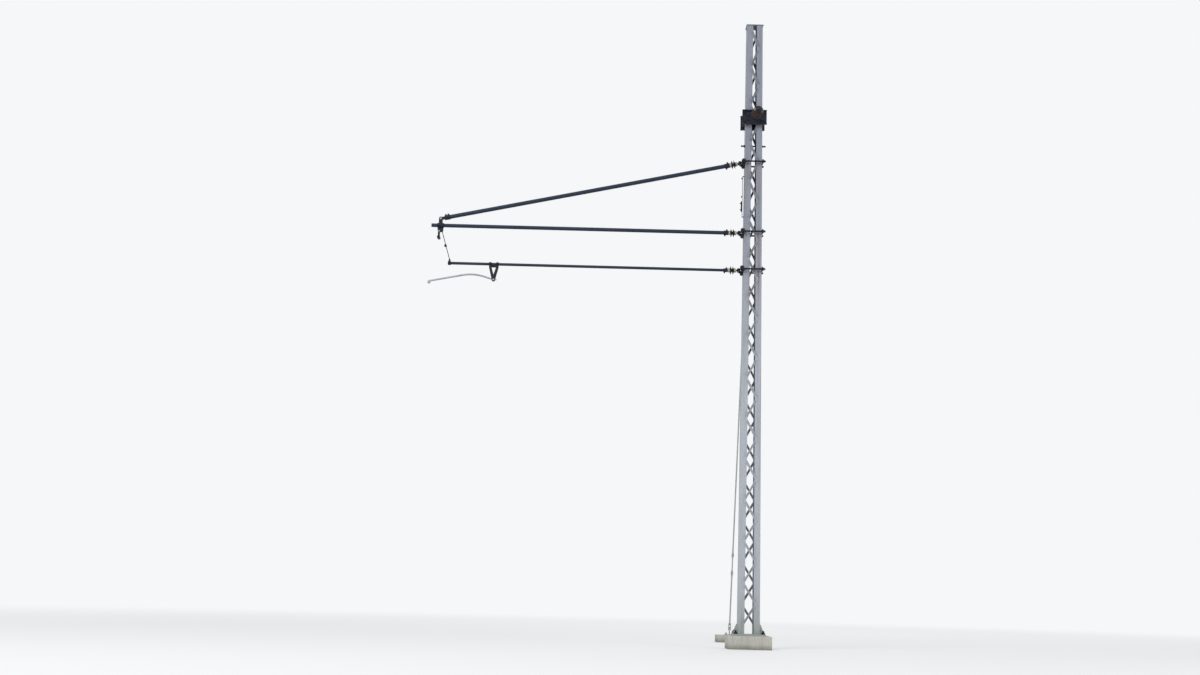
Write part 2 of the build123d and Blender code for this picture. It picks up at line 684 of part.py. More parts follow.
def tip_joint():
    """Collar on the bracket tube with ears for the stay tube above and a lug below."""
    half = TIP_COLLAR_LENGTH / 2
    outer = BRACKET_TUBE_RADIUS + COLLAR_WALL
    gap = TIP_TONGUE_THICKNESS / 2 + SIDE_CLEARANCE
    ears = []
    for y in (gap + TIP_EAR_THICKNESS / 2, -gap - TIP_EAR_THICKNESS / 2):
        plate = Plane(origin=(0, y, 0), x_dir=(1, 0, 0), z_dir=(0, -1, 0))
        ears.append(along_plate(
            plate, (TIP_X, y, MIDDLE_LEVEL), (TIP_X, y, STAY_PIN_Z), TIP_EAR_RADIUS, TIP_EAR_THICKNESS
        ))
    collar = bar((TIP_X - half, 0, MIDDLE_LEVEL), (TIP_X + half, 0, MIDDLE_LEVEL), outer)
    reach = gap + TIP_EAR_THICKNESS + SIDE_CLEARANCE
    pin = bar((TIP_X, -reach, STAY_PIN_Z), (TIP_X, reach, STAY_PIN_Z), TIP_PIN_RADIUS)
    hanger_reach = TIP_LUG_THICKNESS / 2 + HANGER_EYE_THICKNESS + 2 * SIDE_CLEARANCE
    hanger_pin = bar(
        (TIP_X + HANGER_PIN_OFFSET, 0, MIDDLE_LEVEL - SUSPENSION_PIN_DROP),
        (TIP_X + HANGER_PIN_OFFSET, hanger_reach, MIDDLE_LEVEL - SUSPENSION_PIN_DROP),
        HANGER_PIN_RADIUS,
    )
    solid = joined([collar, tip_lug(), pin, hanger_pin] + ears)
    bore = bar(
        (TIP_X - half, 0, MIDDLE_LEVEL),
        (TIP_X + half, 0, MIDDLE_LEVEL),
        BRACKET_TUBE_RADIUS + SOCKET_CLEARANCE,
    )
    pin_place = (TIP_X + MESSENGER_OFFSET, 0, MIDDLE_LEVEL - SUSPENSION_PIN_DROP)
    hole = bar(
        (pin_place[0], -TIP_LUG_THICKNESS, pin_place[2]),
        (pin_place[0], TIP_LUG_THICKNESS, pin_place[2]),
        SUSPENSION_PIN_RADIUS + PIN_CLEARANCE,
    )
    return solid - bore - hole


def tip_lug():
    """Plate under the collar that carries the wire clamp and the hanger."""
    half = TIP_LUG_WIDTH / 2
    bottom = MIDDLE_LEVEL - TIP_LUG_DROP
    shoulder = bottom + half / 2
    points = [
        (TIP_X - half, MIDDLE_LEVEL), (TIP_X + half, MIDDLE_LEVEL), (TIP_X + half, shoulder),
        (TIP_X + half / 2, bottom), (TIP_X - half / 2, bottom), (TIP_X - half, shoulder),
    ]
    return upright(points, -TIP_LUG_THICKNESS / 2, TIP_LUG_THICKNESS / 2)


def stay_tube_end():
    """Socket on the stay tube's lower end with a tongue that turns on the tip pin."""
    bore = STAY_TUBE_RADIUS + SOCKET_CLEARANCE
    outer = STAY_TUBE_RADIUS + TIP_SOCKET_WALL
    tube_end = STAY_TUBE_SPAN - TIP_TONGUE_LENGTH - TIP_SOCKET_WALL
    floor = tube_end + SOCKET_CLEARANCE
    socket = turned([
        (tube_end - TIP_SOCKET_LENGTH, bore), (tube_end - TIP_SOCKET_LENGTH, outer),
        (floor, outer), (floor + TIP_SOCKET_WALL, outer / 2), (floor + TIP_SOCKET_WALL, 0),
        (floor, 0), (floor, bore),
    ])
    tongue = block(
        (floor + TIP_SOCKET_WALL / 2, STAY_TUBE_SPAN),
        (-TIP_TONGUE_THICKNESS / 2, TIP_TONGUE_THICKNESS / 2),
        (-TIP_TONGUE_RADIUS, TIP_TONGUE_RADIUS),
    )
    solid = outwards(joined([socket, tongue]), UPPER_LEVEL, STAY_TUBE_TILT)
    half = TIP_TONGUE_THICKNESS / 2
    eye = bar((TIP_X, -half, STAY_PIN_Z), (TIP_X, half, STAY_PIN_Z), TIP_TONGUE_RADIUS)
    hole = bar((TIP_X, -half, STAY_PIN_Z), (TIP_X, half, STAY_PIN_Z), TIP_PIN_RADIUS + PIN_CLEARANCE)
    return joined([solid, eye]) - hole


def messenger_clamp():
    """Fork that hangs from the tip's lug and ends in a grooved saddle for the wire."""
    x = TIP_X + MESSENGER_OFFSET
    pin_z = MIDDLE_LEVEL - SUSPENSION_PIN_DROP
    wire_z = MIDDLE_LEVEL - MESSENGER_DROP
    gap = TIP_LUG_THICKNESS / 2 + SIDE_CLEARANCE
    cheeks = []
    for way in (-1, 1):
        y = way * (gap + CHEEK_THICKNESS / 2)
        plate = Plane(origin=(0, y, 0), x_dir=(1, 0, 0), z_dir=(0, -1, 0))
        cheeks.append(along_plate(
            plate, (x, y, wire_z + SADDLE_HEIGHT / 2), (x, y, pin_z), CHEEK_WIDTH / 2, CHEEK_THICKNESS
        ))
    reach = gap + CHEEK_THICKNESS + SIDE_CLEARANCE
    pin = bar((x, -reach, pin_z), (x, reach, pin_z), SUSPENSION_PIN_RADIUS)
    half = SADDLE_WIDTH / 2
    points = [
        (x - half, wire_z + SADDLE_HEIGHT / 2), (x + half, wire_z + SADDLE_HEIGHT / 2),
        (x + half, wire_z - SADDLE_HEIGHT / 4), (x + half / 2, wire_z - SADDLE_HEIGHT / 2),
        (x - half / 2, wire_z - SADDLE_HEIGHT / 2), (x - half, wire_z - SADDLE_HEIGHT / 4),
    ]
    saddle = upright(points, -SADDLE_LENGTH / 2, SADDLE_LENGTH / 2)
    bore = bar((x, -SADDLE_LENGTH, wire_z), (x, SADDLE_LENGTH, wire_z), MESSENGER_WIRE_RADIUS)
    return joined([saddle, pin] + cheeks) - bore


def hanger_ends():
    """Centres of the hanger's upper and lower eye."""
    y = TIP_LUG_THICKNESS / 2 + SIDE_CLEARANCE + HANGER_EYE_THICKNESS / 2
    top = (TIP_X + HANGER_PIN_OFFSET, y, MIDDLE_LEVEL - SUSPENSION_PIN_DROP)
    bottom = (HANGER_COLLAR_X, y, LOWER_LEVEL + HANGER_LUG_RISE)
    return top, bottom


def hanger():
    """Straight rod with a flat eye at each end."""
    top, bottom = hanger_ends()
    y = top[1]
    half = HANGER_EYE_THICKNESS / 2
    pieces = [bar(top, bottom, HANGER_RADIUS)]
    for x, _, z in (top, bottom):
        pieces.append(bar((x, y - half, z), (x, y + half, z), HANGER_EYE_RADIUS))
    solid = joined(pieces)
    for x, _, z in (top, bottom):
        solid = solid - bar(
            (x, y - HANGER_EYE_THICKNESS, z), (x, y + HANGER_EYE_THICKNESS, z),
            HANGER_PIN_RADIUS + PIN_CLEARANCE,
        )
    return solid


def hanger_collar():
    """Collar near the lowest tube's outer end, with a lug and pin for the hanger."""
    half = HANGER_COLLAR_LENGTH / 2
    outer = REGISTRATION_TUBE_RADIUS + COLLAR_WALL
    x, y, z = hanger_ends()[1]
    lug_half = HANGER_LUG_THICKNESS / 2
    plate = Plane(origin=(0, 0, 0), x_dir=(1, 0, 0), z_dir=(0, -1, 0))
    solid = joined([
        bar((x - half, 0, LOWER_LEVEL), (x + half, 0, LOWER_LEVEL), outer),
        along_plate(plate, (x, 0, LOWER_LEVEL), (x, 0, z), HANGER_EYE_RADIUS, 2 * lug_half),
        bar((x, 0, z), (x, y + HANGER_EYE_THICKNESS / 2 + SIDE_CLEARANCE, z), HANGER_PIN_RADIUS),
    ])
    bore = REGISTRATION_TUBE_RADIUS + SOCKET_CLEARANCE
    return solid - bar((x - half, 0, LOWER_LEVEL), (x + half, 0, LOWER_LEVEL), bore)


def drop_bracket():
    """Two open V-shaped cheeks under the lowest tube, on two collars, with pin and stop."""
    top = LOWER_LEVEL - REGISTRATION_TUBE_RADIUS - SIDE_CLEARANCE
    outer = REGISTRATION_TUBE_RADIUS + COLLAR_WALL
    gap = DROP_CHEEK_GAP / 2
    reach = gap + DROP_CHEEK_THICKNESS
    pieces = []
    for way in (-1, 1):
        low, high = sorted((way * gap, way * reach))
        pieces.append(drop_cheek(top, low, high))
        x = DROP_X + way * (DROP_TOP_WIDTH - DROP_COLLAR_LENGTH) / 2
        half = DROP_COLLAR_LENGTH / 2
        collar = bar((x - half, 0, LOWER_LEVEL), (x + half, 0, LOWER_LEVEL), outer)
        pieces.append(collar)
    pieces.append(bar((DROP_X, -reach, STEADY_PIN_Z), (DROP_X, reach, STEADY_PIN_Z), STEADY_PIN_RADIUS))
    stop_x, stop_z = stop_place()
    pieces.append(bar((stop_x, -reach, stop_z), (stop_x, reach, stop_z), STOP_RADIUS))
    solid = joined(pieces)
    bore = REGISTRATION_TUBE_RADIUS + SOCKET_CLEARANCE
    return solid - bar(
        (DROP_X - DROP_TOP_WIDTH, 0, LOWER_LEVEL), (DROP_X + DROP_TOP_WIDTH, 0, LOWER_LEVEL), bore
    )


def drop_cheek(top, y_low, y_high):
    """Three-cornered plate with a window, rounded about the steady arm's pin."""
    half = DROP_TOP_WIDTH / 2
    foot = DROP_FOOT_RADIUS
    plate = upright(
        [
            (DROP_X - half, top), (DROP_X + half, top), (DROP_X + half, top - foot),
            (DROP_X + foot, STEADY_PIN_Z), (DROP_X - foot, STEADY_PIN_Z), (DROP_X - half, top - foot),
        ],
        y_low, y_high,
    )
    margin = DROP_WINDOW_MARGIN
    window = upright(
        [
            (DROP_X - half + margin + foot / 2, top - margin),
            (DROP_X + half - margin - foot / 2, top - margin),
            (DROP_X, STEADY_PIN_Z + foot + 2 * margin),
        ],
        y_low, y_high,
    )
    round_foot = bar((DROP_X, y_low, STEADY_PIN_Z), (DROP_X, y_high, STEADY_PIN_Z), foot)
    return (plate - window).fuse(round_foot)


def stop_place():
    """Centre of the stop that the steady arm's heel bears against, as (x, z)."""
    return DROP_X + STOP_OFFSET, STEADY_PIN_Z + HEEL_HEIGHT / 2 + SOCKET_CLEARANCE + STOP_RADIUS


def steady_arm():
    """Bent tube with a flat eye and a heel at its hinge."""
    pin = (DROP_X, 0, STEADY_PIN_Z)
    way = (Vector(*STEADY_CREST) - Vector(*pin)).normalized()
    start = Vector(*pin) + way * STEADY_NECK_LENGTH
    path = FilletPolyline(start, STEADY_CREST, STEADY_END, radius=STEADY_BEND_RADIUS)
    ring = Circle(STEADY_TUBE_RADIUS) - Circle(STEADY_TUBE_RADIUS - STEADY_TUBE_WALL)
    half = STEADY_EYE_THICKNESS / 2
    neck = block(
        (0, STEADY_NECK_LENGTH + STEADY_TUBE_RADIUS),
        (-STEADY_NECK_HEIGHT / 2, STEADY_NECK_HEIGHT / 2),
        (-half, half),
    )
    solid = joined([
        sweep(Plane(origin=start, z_dir=way).location * ring, path=path),
        Plane(origin=pin, x_dir=tuple(way), z_dir=(0, 1, 0)).location * neck,
        bar((DROP_X, -half, STEADY_PIN_Z), (DROP_X, half, STEADY_PIN_Z), STEADY_EYE_RADIUS),
        block(
            (DROP_X, DROP_X + HEEL_LENGTH),
            (-HEEL_WIDTH / 2, HEEL_WIDTH / 2),
            (STEADY_PIN_Z - HEEL_HEIGHT / 2, STEADY_PIN_Z + HEEL_HEIGHT / 2),
        ),
    ])
    return solid - bar(
        (DROP_X, -STEADY_EYE_RADIUS, STEADY_PIN_Z),
        (DROP_X, STEADY_EYE_RADIUS, STEADY_PIN_Z),
        STEADY_PIN_RADIUS + PIN_CLEARANCE,
    )


def contact_wire_clip():
    """Plug in the arm's end with a stem and a grooved jaw open to below."""
    end = Vector(*STEADY_END)
    way = (end - Vector(*STEADY_CREST)).normalized()
    bore = STEADY_TUBE_RADIUS - STEADY_TUBE_WALL - SOCKET_CLEARANCE
    plug_start = end - way * (2 * STEADY_TUBE_RADIUS)
    plug_end = end + way * (CLIP_KNUCKLE / 2 + CLIP_GAP)
    wire_z = end.Z - CLIP_DROP
    half = CLIP_WIDTH / 2
    x = plug_end.X
    points = [
        (x - half / 2, wire_z + CLIP_HEIGHT - CONTACT_WIRE_RADIUS),
        (x + half / 2, wire_z + CLIP_HEIGHT - CONTACT_WIRE_RADIUS),
        (x + half, wire_z), (x + half / 2, wire_z - CONTACT_WIRE_RADIUS / 2),
        (x - half / 2, wire_z - CONTACT_WIRE_RADIUS / 2), (x - half, wire_z),
    ]
    jaw = upright(points, -CLIP_LENGTH / 2, CLIP_LENGTH / 2)
    groove = bar((x, -CLIP_LENGTH, wire_z), (x, CLIP_LENGTH, wire_z), CONTACT_WIRE_RADIUS)
    stem = bar((x, 0, wire_z + CONTACT_WIRE_RADIUS + SIDE_CLEARANCE), tuple(plug_end), CLIP_STEM_RADIUS)
    plug = bar(tuple(plug_start), tuple(plug_end), bore)
    knuckle = block(
        (x - CLIP_KNUCKLE / 2, x + CLIP_KNUCKLE / 2),
        (-CLIP_KNUCKLE / 2, CLIP_KNUCKLE / 2),
        (plug_end.Z - CLIP_KNUCKLE / 2, plug_end.Z + CLIP_KNUCKLE / 2),
    )
    return joined([plug, knuckle, stem, jaw]) - groove


def yoke(face):
    """Flanged plate across one side of the mast, standing on four feet clear of the lacing."""
    low, high = YOKE_LEVEL - YOKE_HEIGHT / 2, YOKE_LEVEL + YOKE_HEIGHT / 2
    inner, outer = face * YOKE_FACE, face * (YOKE_FACE + YOKE_PLATE)
    rim = face * (YOKE_FACE + YOKE_PLATE + YOKE_FLANGE)
    half = YOKE_WIDTH / 2
    pieces = [block((-half, half), sorted((inner, outer)), (low, high))]
    for z_low, z_high in ((low, low + YOKE_PLATE), (high - YOKE_PLATE, high)):
        pieces.append(block((-half, half), sorted((inner, rim)), (z_low, z_high)))
    for side in (-1, 1):
        pieces.append(yoke_foot(face, side))
    solid = joined(pieces + [yoke_lug(face)])
    for x, z in yoke_bolt_places():
        solid = solid - bar((x, inner, z), (x, 2 * rim, z), YOKE_BOLT_RADIUS + HOLE_CLEARANCE)
    eye = yoke_eye(face)
    return solid - bar(
        (-YOKE_LUG_THICKNESS, eye[1], eye[2]),
        (YOKE_LUG_THICKNESS, eye[1], eye[2]),
        LINK_PIN_RADIUS + PIN_CLEARANCE,
    )


def yoke_foot(face, side):
    """Packing strip between the yoke and a leg's flange, along the leg's outer edge."""
    low, high = YOKE_LEVEL - YOKE_FOOT_HEIGHT / 2, YOKE_LEVEL + YOKE_FOOT_HEIGHT / 2
    ends = sorted((face * FLANGE_FACE, face * (YOKE_FACE + YOKE_PLATE / 2)))
    return following_leg(side, low, high, -YOKE_FOOT_WIDTH, 0, *ends)


def yoke_eye(face):
    """Centre of the hole in a yoke's lug."""
    return (0, face * (YOKE_FACE + YOKE_LUG_REACH), YOKE_LEVEL)


def yoke_lug(face):
    """Upright lug in the middle of a yoke, rounded about its hole."""
    plate = Plane(origin=(0, 0, 0), x_dir=(0, 1, 0), z_dir=(1, 0, 0))
    root = (0, face * (YOKE_FACE + YOKE_LUG_RADIUS), YOKE_LEVEL)
    shape = along_plate(plate, root, yoke_eye(face), YOKE_LUG_RADIUS, YOKE_LUG_THICKNESS)
    return shape


def yoke_bolt_places():
    """Positions of the four bolts beside the legs, as (x, z)."""
    x = YOKE_WIDTH / 2 - YOKE_BOLT_INSET
    z = YOKE_HEIGHT / 2 - YOKE_PLATE - YOKE_BOLT_INSET
    return [(sx * x, YOKE_LEVEL + sz * z) for sx in (-1, 1) for sz in (-1, 1)]


def yoke_bolt(x, z):
    """Long bolt from yoke to yoke with a nut at each end."""
    seat = YOKE_FACE + YOKE_PLATE
    end = seat + YOKE_NUT_HEIGHT + YOKE_BOLT_END
    return joined([
        bar((x, -end, z), (x, end, z), YOKE_BOLT_RADIUS),
        nut((x, seat, z), (0, 1, 0), YOKE_NUT_FLATS, YOKE_NUT_HEIGHT),
        nut((x, -seat, z), (0, -1, 0), YOKE_NUT_FLATS, YOKE_NUT_HEIGHT),
    ])


def string_frame():
    """Plane at the front yoke's eye whose X axis runs along the anchored line."""
    fall = math.radians(STRING_FALL)
    return Plane(origin=yoke_eye(-1), x_dir=(0, -math.cos(fall), -math.sin(fall)), z_dir=(1, 0, 0))


def string_link():
    """Two flat links with a pin at each end, between the yoke and the insulator."""
    frame = string_frame()
    half = YOKE_LUG_THICKNESS / 2 + SIDE_CLEARANCE
    pieces = []
    for way in (-1, 1):
        outline = Pos(LINK_LENGTH / 2, 0) * SlotCenterToCenter(LINK_LENGTH, LINK_WIDTH)
        plate = extrude(outline, LINK_THICKNESS)
        offset = half if way > 0 else -half - LINK_THICKNESS
        pieces.append(Pos(0, 0, offset) * plate)
    reach = half + LINK_THICKNESS + YOKE_NUT_HEIGHT / 2
    for x in (0, LINK_LENGTH):
        pieces.append(bar((x, 0, -reach), (x, 0, reach), LINK_PIN_RADIUS))
    return frame.location * joined(pieces)


def string_cap(near):
    """Metal cap on one end of the string's insulator, with a flat eye."""
    start = LINK_LENGTH + STRING_EYE_OFFSET
    tongue_x = LINK_LENGTH if near else start + string_body_length() + STRING_EYE_OFFSET
    edge = start if near else start + string_body_length()
    way = 1 if near else -1
    floor = edge + way * (STRING_CAP_LENGTH - STRING_CAP_LAP)
    rim = edge + way * STRING_CAP_LENGTH
    inner = STRING_CORE_RADIUS + SOCKET_CLEARANCE
    cap = turned([
        (edge, 0), (edge, STRING_CAP_ROOT_RADIUS), (floor, STRING_CAP_RADIUS),
        (rim, STRING_CAP_RADIUS), (rim, inner), (floor, inner), (floor, 0),
    ])
    half = YOKE_LUG_THICKNESS / 2
    ends = sorted((tongue_x, floor - way * half))
    neck = block(ends, (-STRING_NECK_WIDTH / 2, STRING_NECK_WIDTH / 2), (-half, half))
    eye = Pos(tongue_x, 0, 0) * extrude(Circle(STRING_EYE_RADIUS), half, both=True)
    bore = (LINK_PIN_RADIUS + PIN_CLEARANCE) if near else STRING_EYE_BORE
    hole = bar((tongue_x, 0, -2 * half), (tongue_x, 0, 2 * half), bore)
    return string_frame().location * (joined([cap, neck, eye]) - hole)


def string_body_length():
    """Distance between the outer ends of the two caps."""
    return STRING_PORCELAIN_LENGTH + 2 * (STRING_CAP_LENGTH - STRING_CAP_LAP)


def string_insulator():
    """Long ribbed insulator of the anchored line."""
    start = LINK_LENGTH + STRING_EYE_OFFSET + STRING_CAP_LENGTH - STRING_CAP_LAP
    body = porcelain(
        start, STRING_PORCELAIN_LENGTH, STRING_CORE_RADIUS, STRING_SHED_RADIUS,
        STRING_SHED_COUNT, STRING_SHED_PITCH,
    )
    return string_frame().location * body


def stay_bottom():
    """Centre of the hole in the ground anchor's eye."""
    return (0, STAY_ANCHOR_Y, STAY_BLOCK_HEIGHT + STAY_EYE_HEIGHT)


def stay_frame():
    """Plane at the ground eye whose X axis runs up along the stay."""
    line = Vector(*yoke_eye(1)) - Vector(*stay_bottom())
    return Plane(origin=stay_bottom(), x_dir=line, z_dir=(1, 0, 0))


def stay_length():
    """Distance between the stay's two pins."""
    return (Vector(*yoke_eye(1)) - Vector(*stay_bottom())).length


def stay_fork(centre, way, thickness):
    """Fork round an eye, drawn along the stay, with its pin."""
    half = thickness / 2 + SIDE_CLEARANCE
    pieces = []
    for side in (-1, 1):
        offset = half if side > 0 else -half - LINK_THICKNESS
        outline = Pos(centre + way * STAY_FORK_LENGTH / 2, 0) * SlotCenterToCenter(
            STAY_FORK_LENGTH, STAY_FORK_WIDTH
        )
        pieces.append(Pos(0, 0, offset) * extrude(outline, LINK_THICKNESS))
    ends = sorted((centre + way * STAY_FORK_LENGTH, centre + way * (STAY_FORK_LENGTH - LINK_THICKNESS)))
    bite = half + LINK_THICKNESS / 2
    pieces.append(block(ends, (-STAY_FORK_WIDTH / 2, STAY_FORK_WIDTH / 2), (-bite, bite)))
    reach = half + LINK_THICKNESS + SIDE_CLEARANCE
    pieces.append(bar((centre, 0, -reach), (centre, 0, reach), STAY_PIN_RADIUS))
    return pieces


def stay_rod():
    """Long upper rod of the stay, from the turnbuckle to the fork on the back yoke."""
    length = stay_length()
    start = TURNBUCKLE_START + TURNBUCKLE_LENGTH - TURNBUCKLE_ENTRY
    pieces = [bar((start, 0, 0), (length - STAY_FORK_LENGTH, 0, 0), STAY_ROD_RADIUS)]
    pieces += stay_fork(length, -1, YOKE_LUG_THICKNESS)
    return stay_frame().location * joined(pieces)


def stay_lower_rod():
    """Short lower rod of the stay, from the fork on the ground eye to the turnbuckle."""
    pieces = [bar((STAY_FORK_LENGTH, 0, 0), (TURNBUCKLE_START + TURNBUCKLE_ENTRY, 0, 0), STAY_ROD_RADIUS)]
    pieces += stay_fork(0, 1, STAY_EYE_PLATE)
    return stay_frame().location * joined(pieces)


def turnbuckle():
    """Open frame of two bars between bored bosses, which the stay's rods screw into."""
    start, end = TURNBUCKLE_START, TURNBUCKLE_START + TURNBUCKLE_LENGTH
    offset = TURNBUCKLE_WIDTH / 2 - TURNBUCKLE_BAR_RADIUS
    pieces = []
    for low in (start, end - TURNBUCKLE_BOSS_LENGTH):
        high = low + TURNBUCKLE_BOSS_LENGTH
        pieces.append(bar((low, 0, 0), (high, 0, 0), TURNBUCKLE_BOSS_RADIUS))
        pieces.append(block(
            (low + TURNBUCKLE_BAR_RADIUS, high - TURNBUCKLE_BAR_RADIUS),
            (-offset, offset),
            (-TURNBUCKLE_BAR_RADIUS, TURNBUCKLE_BAR_RADIUS),
        ))
    for y in (-offset, offset):
        inset = TURNBUCKLE_BAR_RADIUS
        pieces.append(bar((start + inset, y, 0), (end - inset, y, 0), TURNBUCKLE_BAR_RADIUS))
    solid = joined(pieces)
    bore = bar((start, 0, 0), (end, 0, 0), STAY_ROD_RADIUS + SOCKET_CLEARANCE)
    return stay_frame().location * (solid - bore)


def stay_block():
    """Concrete block that the stay's ground eye stands on."""
    half = STAY_BLOCK_SIZE / 2
    y = STAY_ANCHOR_Y
    body = block((-half, half), (y - half, y + half), (0, STAY_BLOCK_HEIGHT))
    top = body.faces().sort_by(Axis.Z)[-1]
    return chamfer(top.edges(), FOUNDATION_CHAMFER / 2)


def stay_eye():
    """Eye plate on a foot plate, turned to meet the stay."""
    half = STAY_EYE_BASE / 2
    top = STAY_BLOCK_HEIGHT + STAY_EYE_BASE_THICKNESS
    y = STAY_ANCHOR_Y
    x, _, z = stay_bottom()
    plate = Plane(origin=(0, 0, 0), x_dir=(0, 1, 0), z_dir=(1, 0, 0))
    lug = along_plate(plate, (x, y, top), (x, y, z), STAY_EYE_RADIUS, STAY_EYE_PLATE)
    cut = block((-half, half), (y - half, y + half), (0, STAY_BLOCK_HEIGHT))
    foot = block((-half, half), (y - half, y + half), (STAY_BLOCK_HEIGHT, top))
    hole = bar((-half, y, z), (half, y, z), STAY_PIN_RADIUS + PIN_CLEARANCE)
    return joined([foot, lug]) - cut - hole


def cross_bar():
    """Bar through both webs with a nut outside each leg."""
    z = CROSS_BAR_LEVEL
    seat = leg_face(z - CROSS_NUT_FLATS) + CLAMP_SEAT
    end = CROSS_BAR_LENGTH / 2
    return joined([
        bar((-end, 0, z), (end, 0, z), CROSS_BAR_RADIUS),
        nut((seat, 0, z), (1, 0, 0), CROSS_NUT_FLATS, CROSS_NUT_HEIGHT),
        nut((-seat, 0, z), (-1, 0, 0), CROSS_NUT_FLATS, CROSS_NUT_HEIGHT),
    ])


def side_bar():
    """Upright flat bar that stands off the track-side leg on its bent ends."""
    low, high = SIDE_BAR_BOTTOM, SIDE_BAR_TOP
    half = SIDE_BAR_WIDTH / 2
    off, thick = SIDE_BAR_STANDOFF, SIDE_BAR_THICKNESS
    return joined([
        following_leg(-1, low, high, off - thick, off, -half, half),
        following_leg(-1, low, low + thick, 0, off, -half, half),
        following_leg(-1, high - thick, high, 0, off, -half, half),
    ])


def side_clamp():
    """Small clamp low on the side bar."""
    low = SIDE_BAR_BOTTOM + SIDE_CLAMP_RISE
    off = SIDE_BAR_STANDOFF
    half = SIDE_CLAMP_WIDTH / 2
    return following_leg(-1, low, low + SIDE_CLAMP_LENGTH, off, off + SIDE_CLAMP_THICKNESS, -half, half)


def group(pieces):
    """Like pieces that don't touch, kept together in one node."""
    return Compound(children=[Solid(piece.solid().wrapped) for piece in pieces])


def nodes():
    """Every piece of the mast by name."""
    names = list(LEVELS)
    parts = {
        "foundation": foundation(),
        "base_plate": base_plate(),
        "anchor_bolts": group([anchor_bolt(x, y) for x, y in anchor_places()]),
        "leg_track_side": leg(-1),
        "leg_field_side": leg(1),
        "lacing_front": lacing(-1),
        "lacing_back": lacing(1),
        "head_plate": head_plate(),
        "clamp_rods": group([clamp_rod(y, LEVELS[n]) for n in names for y in (-ROD_Y, ROD_Y)]),
        "hinge_pins": group([hinge_pin(LEVELS[n]) for n in names]),
        "anchor_yoke_front": yoke(-1),
        "anchor_yoke_back": yoke(1),
        "yoke_bolts": group([yoke_bolt(x, z) for x, z in yoke_bolt_places()]),
        "string_link": string_link(),
        "string_insulator": string_insulator(),
        "string_caps": group([string_cap(True), string_cap(False)]),
        "stay_rod": stay_rod(),
        "stay_turnbuckle": turnbuckle(),
        "stay_lower_rod": stay_lower_rod(),
        "stay_ground_eye": stay_eye(),
        "stay_ground_block": stay_block(),
        "cross_bar": cross_bar(),
        "side_bar": side_bar(),
        "side_bar_clamp": side_clamp(),
        "stay_tube": tube("upper", STAY_TUBE_SPAN - TIP_TONGUE_LENGTH - TIP_SOCKET_WALL),
        "bracket_tube": tube("middle", BRACKET_TUBE_LENGTH),
        "registration_tube": tube("lower", REGISTRATION_TUBE_LENGTH),
        "stay_tube_end": stay_tube_end(),
        "tip_joint": tip_joint(),
        "messenger_clamp": messenger_clamp(),
        "registration_hanger": hanger(),
        "hanger_collar": hanger_collar(),
        "drop_bracket": drop_bracket(),
        "steady_arm": steady_arm(),
        "contact_wire_clip": contact_wire_clip(),
    }
    for name in names:
        level = LEVELS[name]
        parts["clamp_bars_" + name] = group([clamp_bar(-1, level), clamp_bar(1, level)])
        parts["hinge_bracket_" + name] = hinge_bracket(level)
        parts["insulator_" + name] = cantilever_insulator(name)
        parts["insulator_fittings_" + name] = group([hinge_fitting(name), tube_fitting(name)])
    return parts


def main():
    os.makedirs("parts", exist_ok=True)
    for name, shape in nodes().items():
        export_step(shape, os.path.join("parts", name + ".step"))


main()
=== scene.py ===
import json
import math

import bpy
import numpy as np
from mathutils import Matrix, Vector


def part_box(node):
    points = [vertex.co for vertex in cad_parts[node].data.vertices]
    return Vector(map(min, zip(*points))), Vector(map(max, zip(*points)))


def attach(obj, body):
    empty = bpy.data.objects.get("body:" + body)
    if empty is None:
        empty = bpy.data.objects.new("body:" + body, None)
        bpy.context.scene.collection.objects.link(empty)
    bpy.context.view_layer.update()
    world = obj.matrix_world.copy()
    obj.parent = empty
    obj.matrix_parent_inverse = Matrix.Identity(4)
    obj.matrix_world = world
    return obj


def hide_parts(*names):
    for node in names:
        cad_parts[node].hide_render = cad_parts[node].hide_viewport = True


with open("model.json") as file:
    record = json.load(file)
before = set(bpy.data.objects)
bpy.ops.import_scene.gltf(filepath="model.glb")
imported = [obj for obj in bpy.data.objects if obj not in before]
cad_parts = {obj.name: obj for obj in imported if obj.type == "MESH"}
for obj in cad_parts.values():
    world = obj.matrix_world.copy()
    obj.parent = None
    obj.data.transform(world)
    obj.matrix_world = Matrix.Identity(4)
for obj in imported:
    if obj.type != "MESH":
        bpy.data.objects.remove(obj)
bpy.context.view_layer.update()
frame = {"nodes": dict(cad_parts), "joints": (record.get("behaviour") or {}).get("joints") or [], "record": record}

bl_info = {
    "name": "Catenary Mast",
    "version": (1, 0, 0),
    "blender": (4, 5, 0),
    "location": "View3D > Sidebar > Mast",
    "description": "Finishes, insulators, tubes, concrete and small hardware of a railway catenary mast",
    "category": "Object",
}

# Places on the mast in metres, +Z up, the cantilever towards -X, the stay towards +Y
X, Y, Z = np.eye(3)
LEVEL_NAMES = ("upper", "middle", "lower")
TUBE_NODES = ("stay_tube", "bracket_tube", "registration_tube")
DARK_NODES = ("registration_hanger",)
LEG_FLANGE = 0.086
LEG_DEPTH = 0.200
CLAMP_ROD_Y = 0.148
CLAMP_BAR_THICKNESS = 0.012
BRACKET_PLATE = 0.010
TIP_EAR_RADIUS = 0.026
HANGER_EYE_RADIUS = 0.013
YOKE_LUG_RADIUS = 0.030
YOKE_PLATE_Y = 0.148
STRING_LINK = 0.120
GROUND_EYE_RADIUS = 0.028
GROUND_PLATE = 0.012
LACING_START = 0.325
LACING_PITCH = 0.2835
LACING_BAYS = 30
LACING_INSET = 0.026
LACING_WIDTH = 0.030

# A millimetre, and the radius of a fine weld bead as a share of the usual one
MM = 0.001
FINE_BEAD = 0.9

